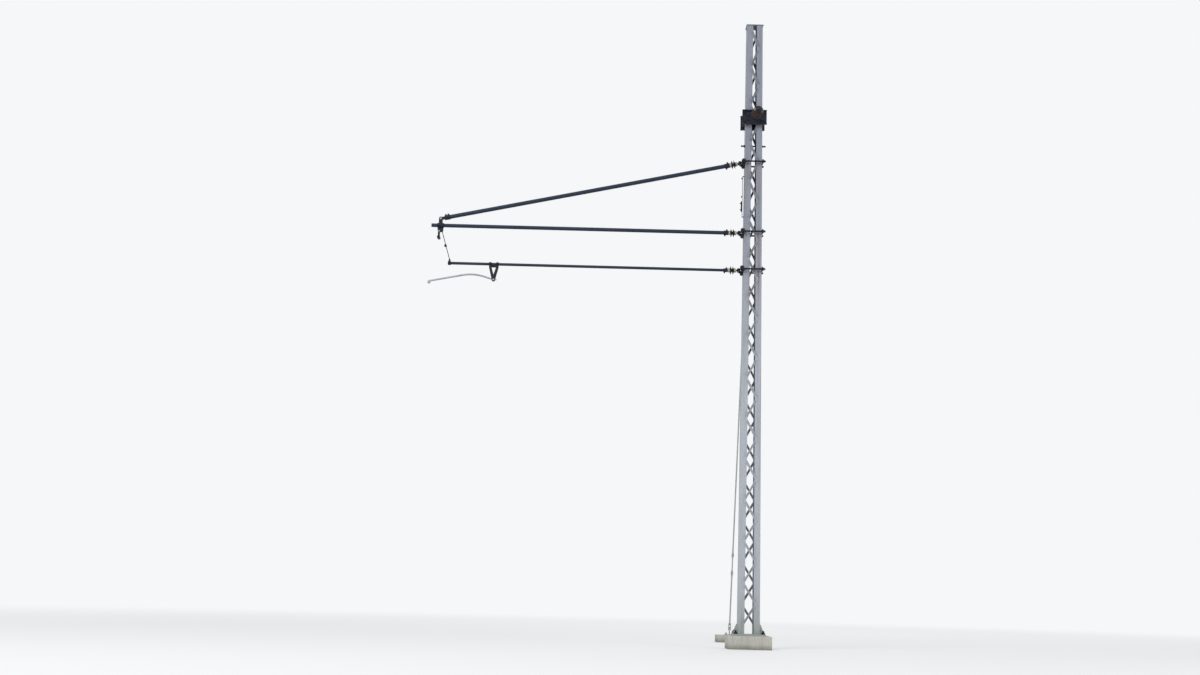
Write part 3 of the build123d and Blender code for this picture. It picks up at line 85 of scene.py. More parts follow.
# Heights between which the painted shade of the mast's head and the moss change, and the length of the rust runs
# under a clamp
BACKLIT_SHADE_FROM = 2.8
BACKLIT_SHADE_FULL = 6.8
MOSS_FULL = 0.35
MOSS_TOP = 1.15
RUST_RUN = 0.75

# Colours that weather leaves on the finishes, with painted shades for the mast's head and the concrete's air holes
RAIN_GREY = (0.17, 0.175, 0.165)
# Painted shade: the bluish dark grey that the mast's head turns to, standing for a mast lit from behind
BACKLIT_SHADE = (0.140, 0.158, 0.208)
RUST = (0.19, 0.085, 0.04)
MOSS = (0.27, 0.305, 0.225)
TUBE_SCUFF = (0.055, 0.062, 0.078)
TUBE_DUST = (0.13, 0.132, 0.13)
TUBE_RUST = (0.10, 0.048, 0.027)
BROWN_BLOOM = (0.050, 0.027, 0.019)
CASTING_DUST = (0.13, 0.13, 0.128)
ZINC_WEAR = (0.15, 0.155, 0.135)
GREY_FILM = (0.2, 0.2, 0.19)
SPECKLE = (0.015, 0.008, 0.006)
GLAZE_DUST = (0.13, 0.105, 0.09)
CONCRETE_RUN = (0.17, 0.165, 0.145)
DAMP = (0.13, 0.125, 0.09)
LICHEN = (0.30, 0.31, 0.20)
# Painted shade in the concrete's air holes
AIR_HOLE_SHADE = (0.12, 0.116, 0.10)

# Stage: lamps as (name, place, share of the key lamp's radiance), colours, the distances from the mast
# between which the floor fades into the background, and the photograph's direction
LAMPS = (
    ("key_lamp", (-11.0, -15.0, 15.0), 1.0),
    ("fill_lamp", (13.0, -10.0, 8.0), 0.3),
    ("back_lamp", (3.0, 14.0, 13.0), 0.35),
)
LAMP_SIZE = 9.0
LAMP_TARGET = (-1.6, 0.0, 4.5)
BACKGROUND = (0.92, 0.93, 0.94, 1.0)
AMBIENT = (0.93, 0.96, 1.0, 1.0)
FLOOR = (0.85, 0.85, 0.84, 1.0)
FADE_FROM = 2.0
FADE_FULL = 28.0
HEADING, PITCH, ROLL = (math.radians(angle) for angle in (13.79, -3.12, 2.23))

# Sockets of the Mix node for colours
MIX_SHARE, MIX_FIRST, MIX_SECOND, MIX_RESULT = 0, 6, 7, 2


# Reading the frame


def joint(name):
    """The packed joint with that name."""
    return next(j for j in frame["joints"] if j["name"] == name)


def mount(name):
    """Place of one of the packed mounts."""
    return np.array(next(m for m in frame["record"]["mounts"] if m["name"] == name)["pos_m"])


def middle(node):
    """Centre of a node's box."""
    low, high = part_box(node)
    return np.array((low + high) / 2)


def span(node, origin, axis, within=1.0):
    """Least and greatest distance along a line, and greatest distance off it, of a node's points
    that lie within some distance of the line."""
    mesh = frame["nodes"][node].data
    points = np.empty(len(mesh.vertices) * 3)
    mesh.vertices.foreach_get("co", points)
    offset = points.reshape(-1, 3) - origin
    along = offset @ axis
    away = np.linalg.norm(offset - along[:, None] * axis, axis=1)
    near = away < within
    return along[near].min(), along[near].max(), away[near].max()


def box_corners(node, inset, level):
    """Four places at one level, inset from the corners of a node's box."""
    low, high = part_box(node)
    across, along = (low.x + inset, high.x - inset), (low.y + inset, high.y - inset)
    return np.array([(x, y, level) for x in across for y in along])


def tip_pin():
    """Centre of the pin at the cantilever's tip."""
    low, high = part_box("tip_joint")
    return np.array([(low.x + high.x) / 2, 0.0, high.z - TIP_EAR_RADIUS])


def hinge_line(name):
    """Point on the hinge axis and outward direction of one cantilever tube."""
    level = middle("hinge_bracket_" + name)[2]
    origin = np.array([*joint("cantilever_swing")["pos_m"][:2], level])
    return origin, unit(tip_pin() - origin) if name == "upper" else -X


def hanger_eyes():
    """Centres of the hanger's upper and lower eyes."""
    low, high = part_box("registration_hanger")
    y, inset = (low.y + high.y) / 2, HANGER_EYE_RADIUS
    return np.array([(low.x + inset, y, high.z - inset), (high.x - inset, y, low.z + inset)])


def string_line():
    """Eye of the front yoke and the direction in which the insulator string leaves it."""
    low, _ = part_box("anchor_yoke_front")
    eye = np.array([0.0, low.y + YOKE_LUG_RADIUS, middle("anchor_yoke_front")[2]])
    return eye, unit(mount("line_eye") - eye)


def stay_line():
    """Eye of the back yoke and the direction of the stay down to its ground eye."""
    _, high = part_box("anchor_yoke_back")
    eye = np.array([0.0, high.y - YOKE_LUG_RADIUS, middle("anchor_yoke_back")[2]])
    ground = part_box("stay_ground_eye")[1]
    foot = np.array([0.0, middle("stay_ground_eye")[1], ground.z - GROUND_EYE_RADIUS])
    return eye, unit(foot - eye)


def leg_face(z):
    """Distance of a leg's outer face from the middle plane at height z."""
    low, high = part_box("leg_field_side")
    foot, head = high.x, low.x + LEG_FLANGE
    return foot - (foot - head) * (z - low.z) / (high.z - low.z)


def bracket_face(z):
    """Place along X of the front of a hinge bracket's back plate at height z."""
    return -(leg_face(z) + CLAMP_BAR_THICKNESS + BRACKET_PLATE)


# Surfaces: rings of points along an axis, worked out as whole arrays


def unit(vectors):
    """Vectors divided by their lengths."""
    vectors = np.asarray(vectors, float)
    return vectors / np.linalg.norm(vectors, axis=-1, keepdims=True)


def round_angles(columns):
    """Even angles round a circle."""
    return np.arange(columns) * 2 * np.pi / columns


def spun(profile, columns=24):
    """Rings about the local X axis: (distance, radius cos a, radius sin a) for each (distance, radius)."""
    distance, radius = np.asarray(profile, float).T
    angle = round_angles(columns)
    rings = np.empty((len(distance), columns, 3))
    rings[..., 0] = distance[:, None]
    rings[..., 1] = radius[:, None] * np.cos(angle)
    rings[..., 2] = radius[:, None] * np.sin(angle)
    return rings


def carried(path, radius, normal, columns=8):
    """Round section along a flat path: path + radius (cos a * normal + sin a * (tangent x normal))."""
    path = np.asarray(path, float)
    tangent = unit(np.gradient(path, axis=0))
    normal = np.broadcast_to(np.asarray(normal, float), tangent.shape)
    across = np.cross(tangent, normal)
    angle = round_angles(columns)[None, :, None]
    offset = np.cos(angle) * normal[:, None, :] + np.sin(angle) * across[:, None, :]
    return path[:, None, :] + np.reshape(radius, (-1, 1, 1)) * offset


def placed(rings, origins, axes, up=Z):
    """A copy of local rings at each origin: origin + x * axis + y * (up x axis) + z * (axis x that)."""
    origins = np.atleast_2d(origins)
    axes = unit(np.broadcast_to(axes, origins.shape))
    side = unit(np.cross(np.broadcast_to(up, axes.shape), axes))
    turn = np.stack([axes, side, np.cross(axes, side)], axis=1)
    return origins[:, None, None, :] + np.einsum("rca,kab->krcb", rings, turn)


def thread(start, end, radius, pitch, depth, columns=18, steps=5):
    """Screw thread about the local X axis: the radius rises and falls by depth as distance / pitch
    less angle / turn goes through each whole number, and it tapers over the first and last turn."""
    rows = max(4, int(round((end - start) / pitch * steps)))
    distance = np.linspace(start, end, rows)[:, None]
    angle = round_angles(columns)[None, :]
    phase = distance / pitch - angle / (2 * np.pi)
    crest = 1 - 2 * np.abs(phase - np.floor(phase) - 0.5)
    fade = np.clip(np.minimum(distance - start, end - distance) / pitch, 0, 1)
    size = radius - depth * (1 - fade) + 2 * depth * (crest - 0.4) * fade
    return np.stack([distance + 0 * angle, size * np.cos(angle), size * np.sin(angle)], axis=-1)


def end_thread(reach, radius, pitch, depth):
    """Thread on a rod's end, from that reach behind its face to a hair past it."""
    return thread(-reach, 0.0002, radius, pitch, depth)


def run(centre, axis, half):
    """Start and end of a weld of that half length about its centre."""
    return centre - half * axis, centre + half * axis


def beads(runs, radius, up, rows, columns=8, ripples=0):
    """Weld beads: a round section from each run's start to its end, its radius times the root of
    1 - 0.98 (2 s - 1)^6 at the share s of the way, with ripples of a tenth where they are asked for."""
    starts, ends = np.array(runs, float).transpose(1, 0, 2)
    share = (1 - np.cos(np.linspace(0, np.pi, rows))) / 2
    ripple = 1 + 0.1 * np.cos(2 * np.pi * ripples * share)
    size = radius * np.sqrt(1 - 0.98 * (2 * share - 1) ** 6) * ripple
    axes = unit(ends - starts)
    side = unit(np.cross(np.broadcast_to(up, axes.shape), axes))
    top = np.cross(axes, side)
    angle = round_angles(columns)[None, None, :, None]
    spoke = np.cos(angle) * side[:, None, None, :] + np.sin(angle) * top[:, None, None, :]
    line = starts[:, None, :] + share[None, :, None] * (ends - starts)[:, None, :]
    return line[:, :, None, :] + size[None, :, None, None] * spoke


def hexagon(flats, height, chamfer=0.08):
    """Nut or bolt head about the local X axis, its corners cut back at both ends."""
    corner = flats / math.sqrt(3)
    cut = corner * chamfer
    return spun([(0, corner - cut), (cut, corner), (height - cut, corner), (height, corner - cut)], 6)


def disc(radius, thickness, columns=28):
    """Washer about the local X axis with softened edges."""
    edge = thickness / 4
    flat, far = radius - edge, thickness - edge
    return spun([(0, flat), (edge, radius), (far, radius), (thickness, flat)], columns)


def bolts(places, ways, washer, head, screws=(), up=Z):
    """Washers of that (radius, thickness), hexagon heads of that (flats, height) on them, and screws."""
    shapes = [disc(*washer), hexagon(*head) + washer[1] * X, *screws]
    return [placed(shape, places, ways, up) for shape in shapes]


def closed_faces(rows, columns):
    """Faces of a stack of rings, closed at each end by a fan about one more point."""
    ring = np.arange(columns)
    after = np.roll(ring, -1)
    base = (np.arange(rows - 1) * columns)[:, None]
    sides = np.stack([base + ring, base + after, base + columns + after, base + columns + ring], axis=-1)
    first, last = rows * columns, rows * columns + 1
    top = (rows - 1) * columns
    near = np.stack([np.full(columns, first), after, ring], axis=-1)
    far = np.stack([np.full(columns, last), top + ring, top + after], axis=-1)
    return sides.reshape(-1, 4), np.concatenate([near, far])


def add_piece(name, batches, body, slot, stands_for=(), crease=35.0):
    """One object from batches of ring stacks, on its body and with its slot's finish."""
    points, faces, count = [], [], 0
    for batch in batches:
        batch = batch[None] if batch.ndim == 3 else batch
        copies, rows, columns = batch.shape[:3]
        ends = np.stack([batch[:, 0].mean(axis=1), batch[:, -1].mean(axis=1)], axis=1)
        stack = np.concatenate([batch.reshape(copies, -1, 3), ends], axis=1)
        first = count + np.arange(copies)[:, None, None] * stack.shape[1]
        for shape in closed_faces(rows, columns):
            faces += (shape[None] + first).reshape(-1, shape.shape[1]).tolist()
        points.append(stack.reshape(-1, 3))
        count += len(points[-1])
    mesh = bpy.data.meshes.new(name)
    mesh.from_pydata(np.concatenate(points).tolist(), [], faces)
    mesh.shade_smooth()
    mesh.set_sharp_from_angle(angle=math.radians(crease))
    mesh.materials.append(finish(slot))
    piece = bpy.data.objects.new(name, mesh)
    bpy.context.scene.collection.objects.link(piece)
    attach(piece, body)
    if stands_for:
        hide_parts(*stands_for)
    return piece


# Finishes: node trees written as expressions


class Value:
    """A node socket that takes part in arithmetic: each operation on it adds one Math node."""

    def __init__(self, tree, socket):
        self.tree = tree
        self.socket = socket

    def maths(self, operation, first, second):
        return self.tree.node("Math", {"operation": operation}, {0: first, 1: second})

    def __add__(self, other):
        return self.maths("ADD", self, other)

    def __radd__(self, other):
        return self.maths("ADD", other, self)

    def __sub__(self, other):
        return self.maths("SUBTRACT", self, other)

    def __rsub__(self, other):
        return self.maths("SUBTRACT", other, self)

    def __mul__(self, other):
        return self.maths("MULTIPLY", self, other)

    def __rmul__(self, other):
        return self.maths("MULTIPLY", other, self)

    def __lt__(self, other):
        return self.maths("LESS_THAN", self, other)


class Tree:
    """The nodes of a material or a world, with the few patterns that the finishes share."""

    def __init__(self, owner):
        self.owner = owner
        owner.use_nodes = True
        self.nodes = owner.node_tree.nodes
        self.links = owner.node_tree.links
        self.nodes.clear()

    def node(self, kind, settings=None, inputs=None, output=0):
        """Adds a node, its settings first and then the values or links of its sockets."""
        made = self.nodes.new("ShaderNode" + kind)
        for name, value in (settings or {}).items():
            setattr(made, name, value)
        for name, value in (inputs or {}).items():
            if isinstance(value, Value):
                self.links.new(value.socket, made.inputs[name])
            else:
                made.inputs[name].default_value = value
        return Value(self, made.outputs[output] if len(made.outputs) else None)

    def place(self, scale=(1, 1, 1)):
        """Object coordinates, stretched by a scale for each axis."""
        here = self.node("TexCoord", output="Object")
        return self.node("Mapping", {"vector_type": "POINT"}, {"Vector": here, "Scale": scale})

    def height(self):
        """Height above the ground."""
        return self.node("SeparateXYZ", inputs={0: self.node("TexCoord", output="Object")}, output=2)

    def facing_up(self):
        """One on a face that looks up, zero on an upright one."""
        return self.node("SeparateXYZ", inputs={0: self.node("TexCoord", output="Normal")}, output=2)

    def noise(self, scale, stretch=(1, 1, 1), detail=3.0, rough=0.55):
        """Cloudy pattern between zero and one."""
        values = {"Vector": self.place(stretch), "Scale": scale, "Detail": detail, "Roughness": rough}
        return self.node("TexNoise", inputs=values, output="Fac")

    def flecks(self, scale, low, high, rough=0.65):
        """Ragged flecks: a finely broken cloudy pattern cut between two levels."""
        return self.step(self.noise(scale, detail=6.0, rough=rough), low, high)

    def cells(self, scale):
        """Distance from the middles of scattered cells."""
        return self.node("TexVoronoi", inputs={"Vector": self.place(), "Scale": scale})

    def crystals(self, scale):
        """A grey of its own for each scattered cell."""
        colour = self.node("TexVoronoi", inputs={"Vector": self.place(), "Scale": scale}, output="Color")
        return self.node("SeparateColor", inputs={0: colour})

    def step(self, value, low, high):
        """Smooth rise from zero at low to one at high, or a fall where low is above high."""
        settings = {"interpolation_type": "SMOOTHSTEP"}
        values = {"Value": value, "From Min": min(low, high), "From Max": max(low, high)}
        rise = self.node("MapRange", settings, values)
        return rise if low < high else 1 - rise

    def blend(self, share, first, second):
        """Colour between two others."""
        values = {MIX_SHARE: share, MIX_FIRST: rgba(first), MIX_SECOND: rgba(second)}
        return self.node("Mix", {"data_type": "RGBA"}, values, output=MIX_RESULT)

    def shade(self, colour, grey):
        """Colour made lighter or darker by a number."""
        vector = self.node("CombineXYZ", inputs={0: grey, 1: grey, 2: grey})
        values = {MIX_SHARE: 1.0, MIX_FIRST: rgba(colour), MIX_SECOND: vector}
        settings = {"data_type": "RGBA", "blend_type": "MULTIPLY"}
        return self.node("Mix", settings, values, output=MIX_RESULT)

    def bump(self, height, depth):
        """Normal of a relief whose height of one stands that many metres proud."""
        return self.node("Bump", inputs={"Height": height, "Distance": depth, "Strength": 1.0})

    def seen(self):
        """One for what the camera sees, straight, reflected or through glass, and zero for other light."""
        camera = self.node("LightPath", output="Is Camera Ray")
        glossy = self.node("LightPath", output="Is Glossy Ray")
        glass = self.node("LightPath", output="Is Transmission Ray")
        return 1 - (1 - camera) * (1 - glossy) * (1 - glass)

    def close(self, colour, roughness, normal, metallic=0.0, **fixed):
        """Ends the tree in its shader, with the fixed values on the shader's own sockets."""
        values = {"Base Color": colour, "Roughness": roughness, "Metallic": metallic, "Normal": normal}
        values.update({name.replace("_", " "): value for name, value in fixed.items()})
        self.node("OutputMaterial", inputs={"Surface": self.node("BsdfPrincipled", inputs=values)})
        return self.owner


def rgba(colour):
    """A colour with full opacity, or a socket as it is."""
    return colour if isinstance(colour, Value) else (*colour, 1.0)


def mast_steel(look):
    """Light grey coat: dull patches, fine crystals, dark rain runs, painted shade that darkens the head as if the
    mast were lit from behind, rust under the clamps and a green film near the ground."""
    tree = Tree(bpy.data.materials.new("weathered_mast_steel_with_painted_shade"))
    height = tree.height()
    patches = tree.noise(2.3, detail=5.0)
    crystals = tree.crystals(75.0)
    runs = tree.noise(1.0, stretch=(26.0, 26.0, 0.8), detail=4.0)
    grey = tree.shade(look.mast, 0.82 + 0.30 * patches + 0.08 * crystals)
    wet = tree.step(runs, 0.50, 0.74) * (look.grime_and_shade * (0.35 + 0.65 * patches))
    colour = tree.blend(wet, grey, RAIN_GREY)
    # Painted shade: darker and bluer towards the head, as a mast lit from behind looks; the grime setting deepens
    # it
    backlit_shade = tree.step(height, BACKLIT_SHADE_FROM, BACKLIT_SHADE_FULL) * (0.45 + 0.35 * look.grime_and_shade)
    colour = tree.blend(backlit_shade, colour, BACKLIT_SHADE)
    stained = 0.0
    for name in LEVEL_NAMES:
        level = float(middle("clamp_bars_" + name)[2])
        stained = stained + tree.step(height, level - RUST_RUN, level) * (height < level)
    specks = tree.flecks(55.0, 0.60, 0.70)
    rust = (stained * tree.step(runs, 0.44, 0.66) * 0.7 + specks * 0.5 * patches) * look.rust
    colour = tree.blend(rust, colour, RUST)
    moss = tree.step(height + 0.7 * patches, MOSS_TOP, MOSS_FULL) * (0.3 + 0.5 * look.grime_and_shade)
    colour = tree.blend(moss, colour, MOSS)
    relief = tree.noise(320.0, detail=2.0) * 0.5 + specks * 0.8 + crystals * 0.15
    rough = 0.46 + 0.22 * patches + 0.18 * wet + 0.2 * rust
    return tree.close(colour, rough, tree.bump(relief, depth=0.0006), metallic=0.15)


def tube_steel(look):
    """Dark blue-grey coat, darker than the grey steel as painted shade of the undersides seen from below, with
    dust along the top, lengthwise scuffs and small chips.
    """
    tree = Tree(bpy.data.materials.new("dark_tube_coat_and_painted_shade"))
    clouds = tree.noise(3.5, detail=4.0)
    scuffs = tree.noise(1.0, stretch=(1.6, 60.0, 60.0), detail=4.0)
    chips = tree.flecks(48.0, 0.64, 0.69, rough=0.7)
    # Painted shade: the base colour is darker and bluer than the steel, standing for the tubes' undersides seen in
    # shade from below
    colour = tree.shade(look.tube, 0.75 + 0.55 * clouds)
    colour = tree.blend(tree.step(scuffs, 0.52, 0.78) * 0.4, colour, TUBE_SCUFF)
    dust = tree.step(tree.facing_up(), 0.25, 0.95) * (0.2 + 0.5 * clouds) * look.grime_and_shade
    colour = tree.blend(dust, colour, TUBE_DUST)
    colour = tree.blend(chips * look.rust, colour, TUBE_RUST)
    relief = tree.noise(260.0, detail=2.0) * 0.5 - chips * 0.7
    rough = 0.40 + 0.18 * clouds + 0.25 * dust + 0.2 * chips
    return tree.close(colour, rough, tree.bump(relief, depth=0.0005), Specular_IOR_Level=0.18)


def dark_hardware(look):
    """Near-black castings with a sandy skin, brown bloom and dust on their tops."""
    tree = Tree(bpy.data.materials.new("dark_castings"))
    clouds = tree.noise(11.0, detail=5.0)
    bloom = tree.flecks(26.0, 0.50, 0.68)
    colour = tree.shade(look.hardware, 0.7 + 0.65 * clouds)
    colour = tree.blend(bloom * look.rust, colour, BROWN_BLOOM)
    dust = tree.step(tree.facing_up(), 0.35, 0.98) * (0.15 + 0.45 * clouds) * look.grime_and_shade
    colour = tree.blend(dust, colour, CASTING_DUST)
    relief = tree.noise(420.0, detail=3.0) * 0.6 + bloom * 0.5
    rough = 0.48 + 0.2 * clouds + 0.15 * bloom
    normal = tree.bump(relief, depth=0.0007)
    return tree.close(colour, rough, normal, metallic=0.1, Specular_IOR_Level=0.2)


def stay_steel(look):
    """Dull zinc with a light bloom and darker lengthwise wear."""
    tree = Tree(bpy.data.materials.new("dull_zinc"))
    clouds = tree.noise(6.0, detail=5.0)
    crystals = tree.crystals(110.0)
    wear = tree.noise(1.0, stretch=(70.0, 70.0, 1.4), detail=4.0)
    colour = tree.shade(look.stay, 0.62 + 0.5 * clouds + 0.26 * crystals)
    colour = tree.blend(tree.step(wear, 0.45, 0.72) * 0.7 * look.grime_and_shade, colour, ZINC_WEAR)
    relief = tree.noise(380.0, detail=2.0) * 0.4 + crystals * 0.3
    rough = 0.42 + 0.2 * clouds + 0.1 * crystals
    return tree.close(colour, rough, tree.bump(relief, depth=0.0005), metallic=0.35)


def bright_aluminium(look):
    """Drawn tube and clips: fine lines along the arm and a thin grey film."""
    tree = Tree(bpy.data.materials.new("drawn_aluminium"))
    lines = tree.noise(1.0, stretch=(9.0, 420.0, 420.0), detail=3.0)
    film = tree.noise(14.0, detail=4.0)
    colour = tree.shade(look.aluminium, 0.70 + 0.22 * lines + 0.30 * film)
    colour = tree.blend(tree.step(film, 0.45, 0.72) * 0.7 * look.grime_and_shade, colour, GREY_FILM)
    relief = lines * 0.4 + film * 0.3
    rough = 0.30 + 0.18 * film + 0.1 * lines
    return tree.close(colour, rough, tree.bump(relief, depth=0.0003), metallic=0.5)


def porcelain(look):
    """Brown glaze that pools darker in places, with speckles and a veil of dust on the upper side."""
    tree = Tree(bpy.data.materials.new("brown_glaze"))
    pools = tree.noise(32.0, detail=3.0)
    speckles = tree.step(tree.cells(420.0), 0.10, 0.02)
    colour = tree.shade(look.glaze, 0.7 + 0.7 * pools)
    colour = tree.blend(speckles * 0.5, colour, SPECKLE)
    dust = tree.step(tree.facing_up(), 0.4, 1.0) * (0.05 + 0.2 * pools) * look.grime_and_shade
    colour = tree.blend(dust, colour, GLAZE_DUST)
    rough = 0.14 + 0.12 * pools + 0.35 * dust
    gloss = {"Specular_IOR_Level": 0.2, "Coat_Weight": 0.22, "Coat_Roughness": 0.05}
    return tree.close(colour, rough, tree.bump(pools, depth=0.0002), **gloss)


def concrete(look):
    """Cast concrete: sand and small stones, air holes painted dark as shade in their pits, damp foot, lichen and
    rain marks.
    """
    tree = Tree(bpy.data.materials.new("weathered_concrete"))
    clouds = tree.noise(5.0, detail=6.0)
    sand = tree.noise(240.0, detail=3.0)
    stones = tree.crystals(60.0)
    ragged = tree.cells(55.0) + 0.30 * tree.noise(45.0, detail=1.0) + 0.06 * tree.noise(400.0)
    holes = tree.step(ragged, 0.27, 0.19) * tree.step(clouds, 0.42, 0.60)
    runs = tree.step(tree.noise(1.0, stretch=(30.0, 30.0, 2.0), detail=4.0), 0.5, 0.72)
    colour = tree.shade(look.concrete, 0.72 + 0.36 * clouds + 0.14 * sand + 0.10 * stones)
    colour = tree.blend(runs * 0.45 * look.grime_and_shade, colour, CONCRETE_RUN)
    damp = tree.step(tree.height() + 0.08 * clouds, 0.13, 0.03)
    colour = tree.blend(damp * 0.7, colour, DAMP)
    lichen = tree.flecks(17.0, 0.60, 0.68, rough=0.7)
    colour = tree.blend(lichen * 0.45, colour, LICHEN)
    # Painted shade: the air holes are coloured dark for the shade inside the pits
    colour = tree.blend(holes * 0.8, colour, AIR_HOLE_SHADE)
    relief = sand * 0.35 + stones * 0.2 + clouds * 0.6 - holes * 1.4
    return tree.close(colour, 0.86 + 0.1 * clouds, tree.bump(relief, depth=0.0025))


FINISHES = {
    "mast_steel": mast_steel,
    "tube_steel": tube_steel,
    "dark_hardware": dark_hardware,
    "stay_steel": stay_steel,
    "bright_aluminium": bright_aluminium,
    "porcelain": porcelain,
    "concrete": concrete,
}
made_finishes = {}


def finish(slot):
    """The material of a slot, made when it is first asked for."""
    if slot not in made_finishes:
        made_finishes[slot] = FINISHES[slot](bpy.context.scene.mast_look)
    return made_finishes[slot]


# Settings that a user would change


def length(label, text, size):
    """A length property in metres."""
    return bpy.props.FloatProperty(name=label, description=text, default=size, min=0.0, unit="LENGTH")


def colour(label, text, value):
    """A colour property."""
    return bpy.props.FloatVectorProperty(
        name=label, description=text, default=value, size=3, min=0.0, max=1.0, subtype="COLOR"
    )


def share(label, text, value):
    """A property between zero and one."""
    return bpy.props.FloatProperty(
        name=label, description=text, default=value, min=0.0, max=1.0, subtype="FACTOR"
    )


def number(label, text, value):
    """A whole-number property of one or more."""
    return bpy.props.IntProperty(name=label, description=text, default=value, min=1)


def strength(label, text, value, least=0.0):
    """A plain number property."""
    return bpy.props.FloatProperty(name=label, description=text, default=value, min=least)


def spot(label, text, value):
    """A place in metres."""
    return bpy.props.FloatVectorProperty(
        name=label, description=text, default=value, size=3, subtype="XYZ", unit="LENGTH"
    )


class MAST_PG_look(bpy.types.PropertyGroup):
    """Colours and weathering"""

    mast: colour("Mast", "Coat of the legs and lacing", (0.40, 0.42, 0.465))
    # The tubes' colour holds painted shade: darker and bluer than their grey steel, as their undersides look from
    # below
    tube: colour("Tubes", "Coat of the cantilever's tubes", (0.018, 0.027, 0.048))
    hardware: colour("Castings", "Clamps, brackets, caps and yoke", (0.012, 0.015, 0.024))
    stay: colour("Stay", "Zinc of the stay and the hanger", (0.40, 0.42, 0.39))
    aluminium: colour("Steady arm", "Metal of the steady arm and its clip", (0.34, 0.35, 0.375))
    glaze: colour("Glaze", "Glaze of the insulators", (0.024, 0.009, 0.006))
    concrete: colour("Concrete", "Foundation head and ground block", (0.47, 0.455, 0.41))
    # Grime also sets how deep the painted shade at the mast's head is
    grime_and_shade: share("Grime", "How dirty the surfaces are", 0.6)
    rust: share("Rust", "How far rust shows", 0.55)


class MAST_PG_insulators(bpy.types.PropertyGroup):
    """Shapes of the glazed bodies"""

    core: length("Core radius", "Radius between the cantilever insulators' sheds", 0.023)
    root: length("Shed root", "Half of a cantilever shed's width at the core", 0.013)
    pitch: length("Shed pitch", "Distance between the cantilever insulators' sheds", 0.034)
    sheds: number("Sheds", "Sheds on each cantilever insulator", 2)
    string_core: length("String core radius", "Radius between the string's sheds", 0.032)
    string_root: length("String shed root", "Half of a string shed's width at the core", 0.017)
    string_pitch: length("String shed pitch", "Distance between the string's sheds", 0.062)
    string_sheds: number("String sheds", "Sheds on the string at the yoke", 5)


class MAST_PG_concrete(bpy.types.PropertyGroup):
    """Shape of the cast concrete"""

    edge: length("Edge", "Width of the softened top edge", 0.010)
    wander: length("Unevenness", "How far the faces wander from flat", 0.0008)
    corner: length("Corner", "Radius of the upright corners", 0.014)


class MAST_PG_hardware(bpy.types.PropertyGroup):
    """Sizes of the small fasteners"""

    thread_pitch: length("Thread pitch", "Rise of a screw thread in one turn", 0.0034)
    thread_depth: length("Thread depth", "Half of a thread's height", 0.0007)
    washer: length("Washer thickness", "Thickness of the plain washers", 0.0035)
    pin_wire: length("Split pin wire", "Radius of the wire of a split pin", 0.0019)
    bead: length("Weld bead", "Radius of the weld beads", 0.0034)
    set_bolt: length("Set bolt", "Width across flats of the set bolts", 0.019)


class MAST_PG_stage(bpy.types.PropertyGroup):
    """Floor, lamps and camera"""

    floor: length("Floor radius", "Radius of the floor", 400.0)
    lamp: strength("Key lamp", "Radiance of the key lamp", 8.5)
    sky: strength("Ambient", "Strength of the even light from all round", 0.5)
    eye: spot("Camera place", "Where the camera stands", (-2.135, -21.825, 0.719))
    aim: spot("Camera aim", "Point in the middle of the picture", (-2.135, 0.04, 4.271))
    lens: strength("Lens", "Focal length in millimetres", 47.0, 1.0)


# Pieces


class MAST_OT_finishes(bpy.types.Operator):
    """Gives every carried-over node the finish of its material slot, and the hanger the dark castings' finish"""

    bl_idname = "mast.finishes"
    bl_label = "Finishes"

    def execute(self, context):
        for part in frame["record"]["subparts"]:
            node = frame["nodes"][part["node"]]
            if not node.material_slots:
                node.data.materials.append(None)
            slot = "dark_hardware" if part["node"] in DARK_NODES else part["material_slot"]
            for holder in node.material_slots:
                holder.material = finish(slot)
        return {"FINISHED"}


def shed_profile(start, end, outer, core, root, pitch, count, steps=14):
    """(distance, radius) along a glazed body. On each shed, with u from -1 to 1, the radius is
    core + (outer - core) sqrt(1 - u^2) and the distance from its middle root (0.3 u + 0.7 u^3)."""
    u = np.sin(np.linspace(-np.pi / 2, np.pi / 2, 2 * steps + 1))
    middles = (start + end) / 2 + (np.arange(count) - (count - 1) / 2) * pitch
    distance = middles[:, None] + root * (0.3 * u + 0.7 * u**3)
    radius = np.broadcast_to(core + (outer - core) * np.sqrt(1 - u**2), distance.shape)
    sheds = np.stack([distance.ravel(), radius.ravel()], axis=1)
    return np.concatenate([[(start, core)], sheds, [(end, core)]])


class MAST_OT_insulators(bpy.types.Operator):
    """Glazed bodies of the three cantilever insulators and of the string at the yoke"""

    bl_idname = "mast.insulators"
    bl_label = "Insulators"

    def execute(self, context):
        look = context.scene.mast_insulators
        small = look.core, look.root, look.pitch, look.sheds
        large = look.string_core, look.string_root, look.string_pitch, look.string_sheds
        kinds = [
            (name, "insulator_" + name, hinge_line(name), "cantilever", small, 72)
            for name in LEVEL_NAMES
        ]
        kinds.append(("string", "string_insulator", string_line(), "mast", large, 80))
        for name, node, (origin, axis), body, shape, columns in kinds:
            profile = shed_profile(*span(node, origin, axis), *shape)
            rings = placed(spun(profile, columns), origin, axis)
            add_piece("glaze_" + name, [rings], body, "porcelain", [node], crease=60.0)
        return {"FINISHED"}


def cap_sleeve(mouth, root):
    """(distance, radius) of a zinc sleeve over a cap, from its rolled mouth to its root."""
    way = 1 if root > mouth else -1
    rolled = ((0.0, 24.0), (0.0, 31.4), (1.2, 32.6), (3.0, 32.8), (4.8, 32.4), (6.0, 31.2))
    closed = ((1.0, 30.9), (0.0, 29.8), (0.0, 24.0))
    points = [(mouth + way * depth * MM, radius * MM) for depth, radius in rolled]
    points += [(root - way * depth * MM, radius * MM) for depth, radius in closed]
    return points[::way]


